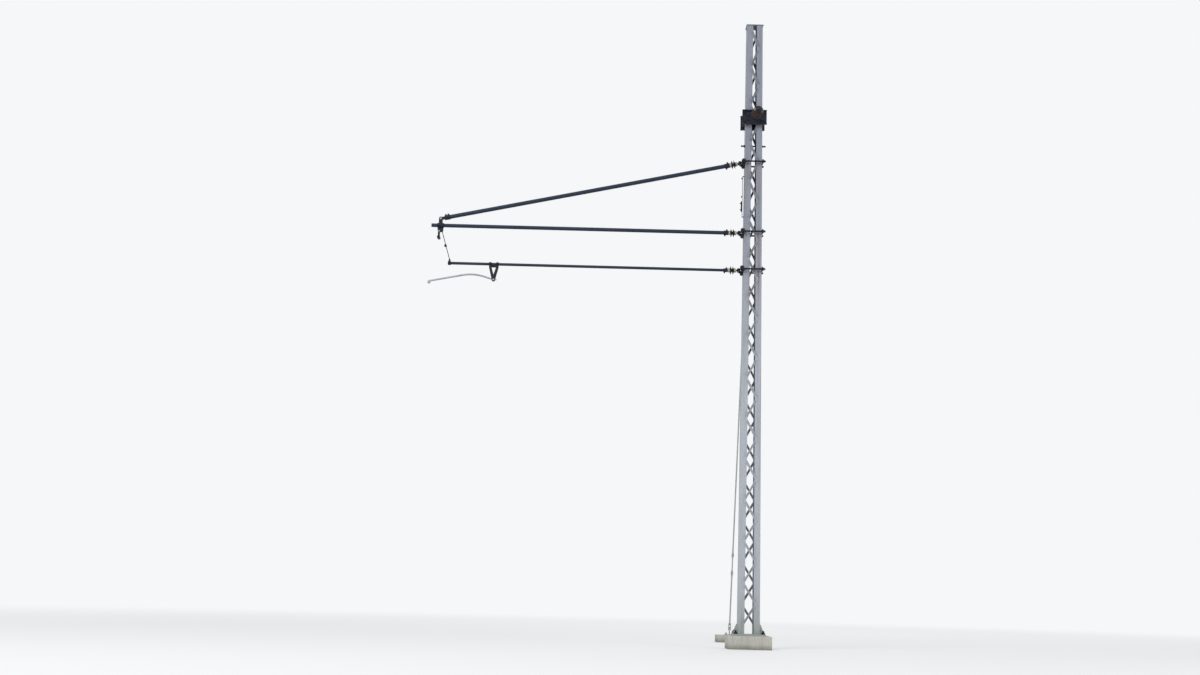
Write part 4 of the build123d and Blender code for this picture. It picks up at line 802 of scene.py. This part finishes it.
class MAST_OT_caps(bpy.types.Operator):
    """Light zinc sleeves with rolled mouths on both caps of each cantilever insulator"""

    bl_idname = "mast.caps"
    bl_label = "Insulator Caps"

    def execute(self, context):
        mouth, near_root, far_root = 0.0155, 0.0122, 0.0118
        batches = []
        for name in LEVEL_NAMES:
            origin, axis = hinge_line(name)
            start, end, _ = span("insulator_" + name, origin, axis)
            for sleeve in ((start + mouth, start - near_root), (end - mouth, end + far_root)):
                batches.append(placed(spun(cap_sleeve(*sleeve), columns=48), origin, axis))
        add_piece("insulator_caps", batches, "cantilever", "stay_steel")
        return {"FINISHED"}


def tube_profile(start, end, radius, rows=24):
    """(distance, radius) of a tube: straight, a rounded lip, a flat rim and a plug set back in it."""
    lip = 0.0025
    plug = 0.4 * radius
    turn = np.linspace(0, np.pi / 2, 6)
    straight = np.linspace(start, end - lip, rows, endpoint=False)
    body = np.stack([straight, np.full(rows, radius)], axis=1)
    edge = np.stack([end - lip + lip * np.sin(turn), radius - lip + lip * np.cos(turn)], axis=1)
    rim = [(end, radius - 2 * lip), (end - lip, radius - 2 * lip), (end - lip, plug)]
    return np.concatenate([body, edge, rim])


class MAST_OT_tubes(bpy.types.Operator):
    """Smooth skins of the three cantilever tubes with pressed-in end plugs"""

    bl_idname = "mast.tubes"
    bl_label = "Cantilever Tubes"

    def execute(self, context):
        for name, node in zip(LEVEL_NAMES, TUBE_NODES):
            origin, axis = hinge_line(name)
            profile = tube_profile(*span(node, origin, axis))
            rings = placed(spun(profile, columns=56), origin, axis)
            add_piece(node + "_skin", [rings], "cantilever", "tube_steel", [node])
        return {"FINISHED"}


def rounded_rectangle(half_x, half_y, corner, turn_steps=7, run_steps=20):
    """Outline seen from above, anticlockwise: places of the corners' centres, with straight runs
    between them, and the outward direction at each. The edge is a corner's radius outwards of it."""
    turn = np.linspace(0, np.pi / 2, turn_steps)
    centres = np.array([(1, 1), (-1, 1), (-1, -1), (1, -1)]) * (half_x - corner, half_y - corner)
    places, ways = [], []
    for quarter in range(4):
        angle = turn + quarter * np.pi / 2
        way = np.stack([np.cos(angle), np.sin(angle)], axis=1)
        straight = np.linspace(centres[quarter], centres[(quarter + 1) % 4], run_steps + 2)[1:-1]
        places += [np.repeat(centres[quarter:quarter + 1], turn_steps, axis=0), straight]
        ways += [way, np.repeat(way[-1:], run_steps, axis=0)]
    return np.concatenate(places), np.concatenate(ways)


def cast_block(node, look, side_rows=12, turn_rows=6, top_rows=5):
    """Rings of a cast block from the ground up: a rounded rectangle, drawn in along a quarter circle at
    its top edge and closed across its top, less a wander of 1.5 and half of the sum of three waves,
    each the sine of a * x + b * y + c * z + d, with x and y in turns to the metre."""
    low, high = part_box(node)
    places, ways = rounded_rectangle((high.x - low.x) / 2, (high.y - low.y) / 2, look.corner)
    turn = np.linspace(0, np.pi / 2, turn_rows)
    sides = np.linspace(low.z, high.z - look.edge, side_rows, endpoint=False)
    top = np.ones(top_rows)
    level = np.concatenate([sides, high.z - look.edge * (1 - np.sin(turn)), top * high.z])[:, None]
    inset = np.concatenate([0 * sides, look.edge * (1 - np.cos(turn)), top * look.edge])[:, None]
    shrink = np.concatenate([np.ones(side_rows + turn_rows), np.linspace(0.9, 0.1, top_rows)])
    across, along = (places + ways * look.corner).T * 2 * np.pi
    waves = ((2.1, 0.0, 9.0, 0.0), (0.0, 3.3, -14.0, 1.3), (5.0, -5.0, 21.0, 0.0))
    wave = sum(np.sin(a * across + b * along + c * level + d) for a, b, c, d in waves)
    radius = look.corner - inset - look.wander * (1.5 + wave / 2)
    ring = (places + ways * radius[..., None]) * shrink[:, None, None] + middle(node)[:2]
    return np.concatenate([ring, np.broadcast_to(level[..., None], (*ring.shape[:2], 1))], axis=-1)


class MAST_OT_concrete(bpy.types.Operator):
    """Cast surfaces of the foundation head and of the stay's ground block"""

    bl_idname = "mast.concrete"
    bl_label = "Concrete"

    def execute(self, context):
        shape = context.scene.mast_concrete
        for node in ("foundation", "stay_ground_block"):
            add_piece(node + "_cast", [cast_block(node, shape)], "mast", "concrete", [node], crease=50.0)
        return {"FINISHED"}


def rod_ends(node, origins, axis, within):
    """Both ends of the rods of a node that lie along an axis: points and outward directions."""
    places, ways = [], []
    for origin in np.array(origins, float):
        low, high, _ = span(node, origin, axis, within)
        places += [origin + low * axis, origin + high * axis]
        ways += [-axis, axis]
    return np.array(places), np.array(ways)


class MAST_OT_clamp_hardware(bpy.types.Operator):
    """Screw threads and washers of the long clamp rods and the cross bar"""

    bl_idname = "mast.clamp_hardware"
    bl_label = "Clamp Hardware"

    def execute(self, context):
        sizes = context.scene.mast_hardware
        screw = {"pitch": sizes.thread_pitch, "depth": sizes.thread_depth}
        washer_radius, washer_back, reach = 0.0245, 0.0352, 0.03
        levels = [middle("clamp_bars_" + name)[2] for name in LEVEL_NAMES]
        rods = [(0.0, y, z) for z in levels for y in (-CLAMP_ROD_Y, CLAMP_ROD_Y)]
        rod = rod_ends("clamp_rods", rods, X, reach)
        bar = rod_ends("cross_bar", [middle("cross_bar")], X, reach)
        batches = [
            placed(end_thread(reach=0.018, radius=0.0122, **screw), *rod),
            placed(disc(washer_radius, sizes.washer) - washer_back * X, *rod),
            placed(end_thread(reach=0.043, radius=0.0112, **screw), *bar),
        ]
        add_piece("clamp_threads", batches, "mast", "dark_hardware")
        return {"FINISHED"}


class MAST_OT_foot_hardware(bpy.types.Operator):
    """Threads of the anchor bolts and the weld beads round the legs and ribs on the foot plate"""

    bl_idname = "mast.foot_hardware"
    bl_label = "Foot Hardware"

    def execute(self, context):
        sizes = context.scene.mast_hardware
        bolt_inset, face_back = 0.028, 0.0242
        corners = box_corners("anchor_bolts", bolt_inset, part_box("anchor_bolts")[1].z)
        screw = end_thread(0.0225, 0.0137, sizes.thread_pitch, sizes.thread_depth)
        nut_face = disc(radius=0.0215, thickness=0.002) - face_back * X
        batches = [placed(shape, corners, Z, up=X) for shape in (screw, nut_face)]
        add_piece("anchor_threads", batches, "mast", "dark_hardware")
        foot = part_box("leg_field_side")[0].z
        face, depth = leg_face(foot), LEG_DEPTH / 2
        rib_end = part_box("base_plate")[1].x - 0.014
        rib_top, rib_low, rib_face = foot + 0.125, foot + 0.004, face + 0.001
        rib_sides = [rib + side for rib in (-0.060, 0.060) for side in (-0.005, 0.005)]
        gaps = ((-depth, -0.066), (-0.054, 0.054), (0.066, depth))
        edges, webs = [], []
        for side in (-1, 1):
            for y in (-depth, depth):
                edges.append(((side * (face - LEG_FLANGE), y, foot), (side * face, y, foot)))
            for y in rib_sides:
                edges.append(((side * face, y, foot), (side * rib_end, y, foot)))
                edges.append(((side * rib_face, y, rib_top), (side * rib_face, y, rib_low)))
            webs += [((side * face, start, foot), (side * face, end, foot)) for start, end in gaps]
        batches = [
            beads(edges, sizes.bead, Y + 0.3 * Z, rows=120, ripples=24),
            beads(webs, sizes.bead, Z, rows=90, ripples=18),
        ]
        add_piece("foot_welds", batches, "mast", "mast_steel")
        return {"FINISHED"}


def lacing_nodes(face):
    """Corners of the zig-zag on one face, as rows of (x, z)."""
    step = np.arange(LACING_BAYS + 1)
    z = LACING_START + step * LACING_PITCH
    side = face * np.where(step % 2 == 0, 1, -1)
    return np.stack([side * (leg_face(z) - LEG_FLANGE + LACING_INSET), z], axis=1)


class MAST_OT_lacing_welds(bpy.types.Operator):
    """Short weld beads along both edges of every lacing bar where it lies on a leg. The bead on the
    inner edge runs from the fork of two bars to where that edge leaves the leg's flange"""

    bl_idname = "mast.lacing_welds"
    bl_label = "Lacing Welds"

    def execute(self, context):
        bead = FINE_BEAD * context.scene.mast_hardware.bead
        half, proud = LACING_WIDTH / 2, 0.0005
        outer_start, outer_end = 0.020, 0.050
        runs = []
        for face in (-1, 1):
            corner = lacing_nodes(face)
            for first, second in ((corner[:-1], corner[1:]), (corner[1:], corner[:-1])):
                along = unit(second - first)
                out = half * np.stack([-along[:, 1], along[:, 0]], axis=1)
                out = out * np.sign(out[:, :1] * first[:, :1])
                sine, cosine = np.abs(along[:, :1]), np.abs(along[:, 1:])
                fork = half * sine / cosine
                leaves = (LACING_INSET - half * cosine) / sine
                y = np.full(len(first), face * (LEG_DEPTH / 2 + proud))
                for edge, *reach in ((out, outer_start, outer_end), (-out, fork, leaves)):
                    ends = [np.insert(first + along * way + edge, 1, y, axis=1) for way in reach]
                    runs.append(np.stack(ends, axis=1))
        shape = beads(np.concatenate(runs), bead, Y, rows=10)
        add_piece("lacing_welds", [shape], "mast", "mast_steel", crease=60.0)
        return {"FINISHED"}


class MAST_OT_hardware_welds(bpy.types.Operator):
    """Rippled weld beads on the hinge brackets, the yoke lugs, the tip joint and the ground eye"""

    bl_idname = "mast.hardware_welds"
    bl_label = "Hardware Welds"

    def execute(self, context):
        bead = FINE_BEAD * context.scene.mast_hardware.bead
        ear_edges, ear_half = np.array([-0.0225, -0.0105, 0.0105, 0.0225]), 0.041
        rib_half, rib_lows, rib_length = 0.005, np.array([-0.068, 0.024]), 0.044
        upright, across = [], []
        for name in LEVEL_NAMES:
            level = middle("hinge_bracket_" + name)[2]
            for z in level + ear_edges:
                across.append(run((bracket_face(z), 0.0, z), Y, ear_half))
            for y in (-rib_half, rib_half):
                for z in level + rib_lows:
                    upright.append(((bracket_face(z), y, z), (bracket_face(z), y, z + rib_length)))
        lug_half, lug_run = 0.009, 0.030
        level = middle("anchor_yoke_front")[2]
        for y in (-YOKE_PLATE_Y, YOKE_PLATE_Y):
            upright += [run((x, y, level), Z, lug_run) for x in (-lug_half, lug_half)]
        eye_half, eye_run = 0.008, 0.027
        low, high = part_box("stay_ground_eye")
        y, z = (low.y + high.y) / 2, low.z + GROUND_PLATE
        ground = [run((x, y, z), Y, eye_run) for x in (-eye_half, eye_half)]
        tip, level = tip_pin()[0], middle("bracket_tube")[2]
        collar = []
        for half, height, reach in ((0.006, -0.0350, 0.040), (0.0185, 0.0303, 0.025)):
            collar += [run((tip, y, level + height), X, reach) for y in (-half, half)]
        for name, runs, way, body, slot in (
            ("bracket_welds", upright + across, X, "mast", "dark_hardware"),
            ("ground_eye_welds", ground, Z, "mast", "stay_steel"),
            ("tip_welds", collar, Z, "cantilever", "dark_hardware"),
        ):
            add_piece(name, [beads(runs, bead, way, rows=60, ripples=12)], body, slot)
        return {"FINISHED"}


class MAST_OT_yoke_hardware(bpy.types.Operator):
    """Bolts of the yokes: hexagon heads over the packing feet, threads on the long bolts"""

    bl_idname = "mast.yoke_hardware"
    bl_label = "Yoke Hardware"

    def execute(self, context):
        sizes = context.scene.mast_hardware
        level = middle("anchor_yoke_front")[2]
        foot_x, foot_z, rod_x, rod_z, washer_back = 0.101, 0.036, 0.151, 0.067, 0.0282
        batches = []
        for face in (-1, 1):
            y = face * YOKE_PLATE_Y
            feet = [(x, y, level + z) for x in (-foot_x, foot_x) for z in (-foot_z, foot_z)]
            batches += bolts(feet, face * Y, washer=(0.0200, sizes.washer), head=(0.030, 0.0125))
        rods = [(x, 0.0, level + z) for x in (-rod_x, rod_x) for z in (-rod_z, rod_z)]
        ends = rod_ends("yoke_bolts", rods, Y, within=0.02)
        screw = end_thread(0.0125, 0.0102, 0.8 * sizes.thread_pitch, sizes.thread_depth)
        washer = disc(0.0215, sizes.washer) - washer_back * X
        batches += [placed(screw, *ends), placed(washer, *ends)]
        add_piece("yoke_fasteners", batches, "mast", "dark_hardware")
        return {"FINISHED"}


def split_pin(radius, reach, wire):
    """Split pin along the local X axis through a round pin of that radius: one wire runs out through the
    hole, round an eye of two and a half wires, and back beside itself, and both tips are bent apart."""
    eye, open_half, bent = 2.6 * wire, 0.8 * np.pi, 1.2
    turn = np.linspace(-open_half, open_half, 17)
    loop = np.stack([-radius - eye * (1 + np.cos(turn)), eye * np.sin(turn)], axis=1)
    bend = bent * np.linspace(0, 1, 7)[1:]
    tip = np.stack([radius + reach * np.sin(bend), wire + reach * (1 - np.cos(bend))], axis=1)
    back, forth = [(radius, -wire), (-radius, -wire)], [(-radius, wire), (radius, wire)]
    line = np.concatenate([tip[::-1] * (1, -1), back, loop, forth, tip])
    return carried(np.insert(line, 1, 0.0, axis=1), wire, Y)


class MAST_OT_split_pins(bpy.types.Operator):
    """Split pins in the hinge pins and in the pins of the stay and the string"""

    bl_idname = "mast.split_pins"
    bl_label = "Split Pins"

    def execute(self, context):
        wire = context.scene.mast_hardware.pin_wire
        hinge = joint("cantilever_swing")["pos_m"]
        above_end, from_head = 0.0045, 0.0035
        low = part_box("hinge_pins")[0].z - middle("hinge_bracket_lower")[2] + above_end
        hinges = [(hinge[0], 0.0, middle("hinge_bracket_" + name)[2] + low) for name in LEVEL_NAMES]
        eye, axis = string_line()
        far_eye = eye + STRING_LINK * axis
        pins = ((eye, "string_link"), (stay_line()[0], "stay_rod"), (far_eye, "string_link"))
        cross = [place + (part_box(node)[1].x - from_head) * X for place, node in pins]
        batches = [
            placed(split_pin(radius=0.0175, reach=0.012, wire=wire), hinges, Y + 0.25 * X),
            placed(split_pin(radius=0.0105, reach=0.009, wire=0.85 * wire), cross, Z, up=X),
        ]
        add_piece("split_pins", batches, "mast", "stay_steel")
        return {"FINISHED"}


class MAST_OT_bracket_bolts(bpy.types.Operator):
    """Bolts that hold the hinge brackets' back plates, above and below their ears"""

    bl_idname = "mast.bracket_bolts"
    bl_label = "Bracket Bolts"

    def execute(self, context):
        washer = 0.0155, context.scene.mast_hardware.washer
        step_y, step_z = 0.030, 0.053
        behind, ahead, radius = -CLAMP_BAR_THICKNESS - BRACKET_PLATE - 0.001, 0.019, 0.008
        levels = [middle("hinge_bracket_" + name)[2] for name in LEVEL_NAMES]
        heights = [level + z for level in levels for z in (-step_z, step_z)]
        places = [(bracket_face(z), y, z) for z in heights for y in (-step_y, step_y)]
        shank = spun([(behind, radius), (ahead, radius)], columns=18)
        batches = bolts(places, -X, washer, head=(0.024, 0.013), screws=[shank])
        add_piece("bracket_bolts", batches, "mast", "dark_hardware")
        return {"FINISHED"}


def over(axis):
    """Direction at right angles to an axis that looks up."""
    return unit(np.cross(np.cross(axis, Z), axis))


class MAST_OT_set_bolts(bpy.types.Operator):
    """Set bolts on low bosses in the tube sockets and collars of the cantilever"""

    bl_idname = "mast.set_bolts"
    bl_label = "Set Bolts"

    def execute(self, context):
        size = context.scene.mast_hardware.set_bolt
        upper_bolt, lower_bolt, sockets = 0.175, 0.202, (0.035, 0.0325, 0.026)
        spots = []
        for name, radius in zip(LEVEL_NAMES, sockets):
            origin, axis = hinge_line(name)
            spots.append((origin + upper_bolt * axis, over(axis), radius))
            spots.append((origin + lower_bolt * axis, -over(axis), radius))
        tube_end, joint_inset, bracket_step, collar = (0.022, 0.056), 0.016, 0.051, 0.029
        origin, axis = hinge_line("upper")
        _, end, _ = span("stay_tube", origin, axis)
        spots += [(origin + (end - back) * axis, over(axis), sockets[0]) for back in tube_end]
        low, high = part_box("tip_joint")
        level = middle("bracket_tube")[2]
        spots += [((x, 0.0, level), -Y, 0.0355) for x in (low.x + joint_inset, high.x - joint_inset)]
        drop, level = middle("drop_bracket")[0], middle("registration_tube")[2]
        for x in (drop - bracket_step, drop + bracket_step, middle("hanger_collar")[0]):
            spots += [((x, 0.0, level), way, collar) for way in (-Y, Y)]
        places = np.array([centre + radius * way for centre, way, radius in spots])
        ways = np.array([way for _, way, _ in spots])
        boss_top, wide, narrow = 0.006, 0.72 * size, 0.60 * size
        boss = spun([(-0.004, wide), (0.003, wide), (boss_top, narrow)])
        head = hexagon(size, 0.011) + boss_top * X
        batches = [placed(shape, places, ways, up=X) for shape in (boss, head)]
        add_piece("set_bolts", batches, "cantilever", "dark_hardware")
        return {"FINISHED"}


class MAST_OT_pin_heads(bpy.types.Operator):
    """Flat heads on the pins of the tip, the clamp under it, the hanger and the steady arm"""

    bl_idname = "mast.pin_heads"
    bl_label = "Pin Heads"

    def execute(self, context):
        head, sunk, clamp_drop = 0.0032, 0.0004, 0.182
        tip, steady = tip_pin(), joint("steady_arm_lift")["pos_m"]
        clamp = mount("messenger_saddle")[0], 0.0, tip[2] - clamp_drop
        upper, lower = hanger_eyes()
        # centre, half of the pin's length, radius of its head, ends that have a head
        pins = (
            (tip, 0.0190, 0.0135, (-1, 1)),
            (clamp, 0.0140, 0.0110, (-1, 1)),
            (steady, 0.0185, 0.0125, (-1, 1)),
            (upper, 0.0160, 0.0085, (1,)),
            (lower, 0.0160, 0.0085, (1,)),
        )
        batches = [
            placed(disc(radius, head), (centre[0], side * (half - sunk), centre[2]), side * Y)
            for centre, half, radius, sides in pins
            for side in sides
        ]
        add_piece("pin_heads", batches, "cantilever", "stay_steel")
        return {"FINISHED"}


class MAST_OT_hanger_clamp(bpy.types.Operator):
    """Small two-bolt clamp half way down the hanger"""

    bl_idname = "mast.hanger_clamp"
    bl_label = "Hanger Clamp"

    def execute(self, context):
        pitch = context.scene.mast_hardware.thread_pitch / 2
        upper, lower = hanger_eyes()
        axis, centre = unit(lower - upper), (upper + lower) / 2
        step, aside, ear = 0.0095, 0.0155, 0.009
        places = centre + np.outer((-step, step), axis) + aside * np.cross(Y, axis)
        barrel = spun([(-0.019, 0.008), (-0.017, 0.0115), (0.017, 0.0115), (0.019, 0.008)])
        boss = spun([(-ear, 0.0085), (ear, 0.0085)], columns=18)
        head = hexagon(0.013, 0.006) + ear * X
        screw = thread(0.015, 0.020, 0.0041, pitch, 0.0003, columns=14)
        across = ((boss, Y), (head, Y), (head, -Y), (screw, Y))
        batches = [placed(barrel, centre, axis, up=Y)]
        batches += [placed(shape, places, way) for shape, way in across]
        add_piece("hanger_clamp", batches, "cantilever", "dark_hardware")
        return {"FINISHED"}


class MAST_OT_grip_bolts(bpy.types.Operator):
    """Bolts of the clamp under the tip and of the clip on the steady arm"""

    bl_idname = "mast.grip_bolts"
    bl_label = "Grip Bolts"

    def execute(self, context):
        washer = 0.0130, context.scene.mast_hardware.washer
        rise, step = 0.017, 0.038
        saddle = mount("messenger_saddle") + rise * Z + np.outer((-step, step), Y)
        screw = thread(0.012, 0.022, radius=0.0062, pitch=0.0018, depth=0.0004)
        batches = bolts(saddle, Z, washer, head=(0.019, 0.010), screws=[screw], up=X)
        add_piece("saddle_bolts", batches, "cantilever", "dark_hardware")
        rise, step, half = 0.010, 0.018, 0.0125
        grip = mount("contact_wire_grip") + rise * Z + np.outer((-step, step), Y)
        screw = thread(0.006, 0.012, radius=0.0042, pitch=0.0016, depth=0.0003, columns=14)
        batches = [
            placed(hexagon(flats=0.013, height=0.0044), grip - half * X, -X),
            placed(hexagon(flats=0.013, height=0.007), grip + half * X, X),
            placed(screw, grip + half * X, X),
        ]
        add_piece("clip_bolts", batches, "steady", "bright_aluminium")
        return {"FINISHED"}


class MAST_OT_stay_hardware(bpy.types.Operator):
    """Threads inside the turnbuckle, its lock nuts, and the bolts of the ground eye and the side bar"""

    bl_idname = "mast.stay_hardware"
    bl_label = "Stay Hardware"

    def execute(self, context):
        sizes = context.scene.mast_hardware
        origin, axis = stay_line()
        rod, outside, nut_height, gap = 0.0115, 0.085, 0.016, 0.0005
        start, end, _ = span("stay_turnbuckle", origin, axis)
        _, upper_end, _ = span("stay_rod", origin, axis, within=rod)
        lower_start, _, _ = span("stay_lower_rod", origin, axis, within=rod)
        screw = 0.0113, sizes.thread_pitch, sizes.thread_depth
        nut = hexagon(0.036, nut_height)
        shapes = (
            thread(start - outside, upper_end, *screw),
            thread(lower_start, end + outside, *screw),
            nut + (start - nut_height - gap) * X,
            nut + (end + gap) * X,
        )
        batches = [placed(shape, origin, axis, up=X) for shape in shapes]
        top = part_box("stay_ground_eye")[0].z + GROUND_PLATE
        corners = box_corners("stay_ground_eye", inset=0.024, level=top)
        screw = thread(0.016, 0.026, radius=0.0082, pitch=0.0025, depth=0.0005)
        batches += bolts(corners, Z, (0.0165, sizes.washer), (0.024, 0.014), [screw], up=X)
        add_piece("stay_fasteners", batches, "mast", "stay_steel")
        top, bar_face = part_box("side_bar")[1].z, 0.030
        heads = [(-(leg_face(z) + bar_face), 0.0, z) for z in (top - 0.030, top - 0.300)]
        batches = bolts(heads, -X, washer=(0.0130, sizes.washer), head=(0.019, 0.011))
        add_piece("side_bar_bolts", batches, "mast", "dark_hardware")
        return {"FINISHED"}


def raised_block(half_y, half_z, corner, profile):
    """Rounded rectangle carried along the local X axis, drawn in by the inset of each (distance, inset)."""
    places, ways = rounded_rectangle(half_y, half_z, corner)
    distance, inset = np.array(profile).T[:, :, None, None]
    ring = places + ways * (corner - inset)
    return np.concatenate([np.broadcast_to(distance, (*ring.shape[:2], 1)), ring], axis=-1)


class MAST_OT_side_clamp(bpy.types.Operator):
    """Cast clamp on the side bar: a block with softened edges and a sunk panel, bosses and two bolts"""

    bl_idname = "mast.side_clamp"
    bl_label = "Side Clamp"

    def execute(self, context):
        pitch = context.scene.mast_hardware.thread_pitch / 2
        low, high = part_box("side_bar_clamp")
        half_y, half_z, level = (high.y - low.y) / 2, (high.z - low.z) / 2, (low.z + high.z) / 2
        block_back, bolt_inset, corner = 0.0295, 0.027, 0.008
        axis = unit([-1.0, 0.0, leg_face(level) - leg_face(level + 1)])
        face = np.array([-(leg_face(level) + block_back), 0.0, level])
        places = face + np.outer([-1, 1], Z) * (half_z - bolt_inset)
        edge = ((0.0, 0.0), (0.0130, 0.0), (0.0148, 0.0005), (0.0160, 0.0017), (0.0165, 0.0034))
        panel = ((0.0165, 0.0056), (0.0145, 0.0068))
        boss_top, washer = 0.0166, 0.0020
        boss = spun([(0.012, 0.0115), (0.0158, 0.0115), (boss_top, 0.0107)], columns=28)
        shapes = (
            boss,
            disc(0.0100, washer) + boss_top * X,
            hexagon(flats=0.0150, height=0.0080) + (boss_top + washer) * X,
            thread(0.0260, 0.0310, 0.0042, pitch, depth=0.0003, columns=14),
        )
        batches = [placed(raised_block(half_y, half_z, corner, edge + panel), face, axis)]
        batches += [placed(shape, places, axis) for shape in shapes]
        add_piece("side_clamp_body", batches, "mast", "dark_hardware", ["side_bar_clamp"])
        return {"FINISHED"}


class MAST_OT_stage(bpy.types.Operator):
    """Pale floor, soft lamps, white surroundings and the camera"""

    bl_idname = "mast.stage"
    bl_label = "Stage"

    def execute(self, context):
        stage = context.scene.mast_stage
        add_floor(stage)
        add_surroundings(context.scene, stage)
        for name, place, share in LAMPS:
            add_lamp(name, place, stage.lamp * share)
        add_camera(context.scene, stage)
        context.scene.view_settings.view_transform = "Standard"
        return {"FINISHED"}


def add_floor(stage, columns=96):
    """Disc at ground level whose grey fades into the white surroundings away from the mast."""
    tree = Tree(bpy.data.materials.new("pale_floor"))
    here = tree.node("TexCoord", output="Object")
    away = tree.node("VectorMath", {"operation": "LENGTH"}, {0: here}, output="Value")
    ground = tree.node("BsdfPrincipled", inputs={"Base Color": FLOOR, "Roughness": 0.95})
    white = tree.node("Emission", inputs={"Color": BACKGROUND, "Strength": 1.0})
    far = (0.3 + 0.7 * tree.step(away, FADE_FROM, FADE_FULL)) * tree.seen()
    mixed = tree.node("MixShader", inputs={0: far, 1: ground, 2: white})
    tree.node("OutputMaterial", inputs={"Surface": mixed})
    angle = round_angles(columns)
    rim = stage.floor * np.stack([np.cos(angle), np.sin(angle), 0 * angle], axis=1)
    mesh = bpy.data.meshes.new("floor")
    mesh.from_pydata(rim.tolist(), [], [list(range(columns))])
    mesh.materials.append(tree.owner)
    floor = bpy.data.objects.new("floor", mesh)
    bpy.context.scene.collection.objects.link(floor)


def add_surroundings(scene, stage):
    """White to the camera and in reflections, an even soft light to everything else."""
    tree = Tree(bpy.data.worlds.new("surroundings"))
    ambient = tree.node("Background", inputs={"Color": AMBIENT, "Strength": stage.sky})
    white = tree.node("Background", inputs={"Color": BACKGROUND, "Strength": 1.0})
    mixed = tree.node("MixShader", inputs={0: tree.seen(), 1: ambient, 2: white})
    tree.node("OutputWorld", inputs={"Surface": mixed})
    scene.world = tree.owner


def add_lamp(name, place, radiance):
    """Square soft lamp that looks at the middle of the mast."""
    lamp = bpy.data.lights.new(name, "AREA")
    lamp.size = LAMP_SIZE
    lamp.energy = radiance * math.pi * LAMP_SIZE**2
    holder = bpy.data.objects.new(name, lamp)
    holder.location = place
    look = Vector(LAMP_TARGET) - holder.location
    holder.rotation_euler = look.to_track_quat("-Z", "Y").to_euler()
    bpy.context.scene.collection.objects.link(holder)


def add_camera(scene, stage):
    """Camera at the photograph's place, turned by the least angle from the photograph's own direction."""
    level = Matrix.Rotation(HEADING, 3, "Z") @ Matrix.Rotation(math.pi / 2 + PITCH, 3, "X")
    photo = level @ Matrix.Rotation(ROLL, 3, "Z")
    looking = photo @ Vector((0, 0, -1))
    aim = Vector(stage.aim) - Vector(stage.eye)
    turned = looking.rotation_difference(aim).to_matrix() @ photo
    data = bpy.data.cameras.new("camera")
    data.lens = stage.lens
    data.sensor_width = 36.0
    data.clip_end = 2000.0
    camera = bpy.data.objects.new("camera", data)
    camera.matrix_world = Matrix.Translation(stage.eye) @ turned.to_4x4()
    scene.collection.objects.link(camera)
    scene.camera = camera


GROUPS = {
    "mast_look": MAST_PG_look,
    "mast_insulators": MAST_PG_insulators,
    "mast_concrete": MAST_PG_concrete,
    "mast_hardware": MAST_PG_hardware,
    "mast_stage": MAST_PG_stage,
}
OPERATORS = (
    MAST_OT_finishes,
    MAST_OT_insulators,
    MAST_OT_caps,
    MAST_OT_tubes,
    MAST_OT_concrete,
    MAST_OT_clamp_hardware,
    MAST_OT_foot_hardware,
    MAST_OT_lacing_welds,
    MAST_OT_hardware_welds,
    MAST_OT_yoke_hardware,
    MAST_OT_split_pins,
    MAST_OT_bracket_bolts,
    MAST_OT_set_bolts,
    MAST_OT_pin_heads,
    MAST_OT_hanger_clamp,
    MAST_OT_grip_bolts,
    MAST_OT_stay_hardware,
    MAST_OT_side_clamp,
    MAST_OT_stage,
)


class MAST_PT_panel(bpy.types.Panel):
    """Lists the settings and the operators"""

    bl_idname = "MAST_PT_panel"
    bl_label = "Catenary Mast"
    bl_space_type = "VIEW_3D"
    bl_region_type = "UI"
    bl_category = "Mast"

    def draw(self, context):
        for name, group in GROUPS.items():
            box = self.layout.box()
            box.label(text=group.__doc__)
            for prop in group.__annotations__:
                box.prop(getattr(context.scene, name), prop)
        for operator in OPERATORS:
            self.layout.operator(operator.bl_idname)


def register():
    for kind in (*GROUPS.values(), *OPERATORS, MAST_PT_panel):
        bpy.utils.register_class(kind)
    for name, group in GROUPS.items():
        setattr(bpy.types.Scene, name, bpy.props.PointerProperty(type=group))


def unregister():
    for name in GROUPS:
        delattr(bpy.types.Scene, name)
    for kind in reversed((*GROUPS.values(), *OPERATORS, MAST_PT_panel)):
        bpy.utils.unregister_class(kind)


def main():
    register()
    for operator in OPERATORS:
        group, call = operator.bl_idname.split(".")
        getattr(getattr(bpy.ops, group), call)()


if __name__ == "__main__":
    main()
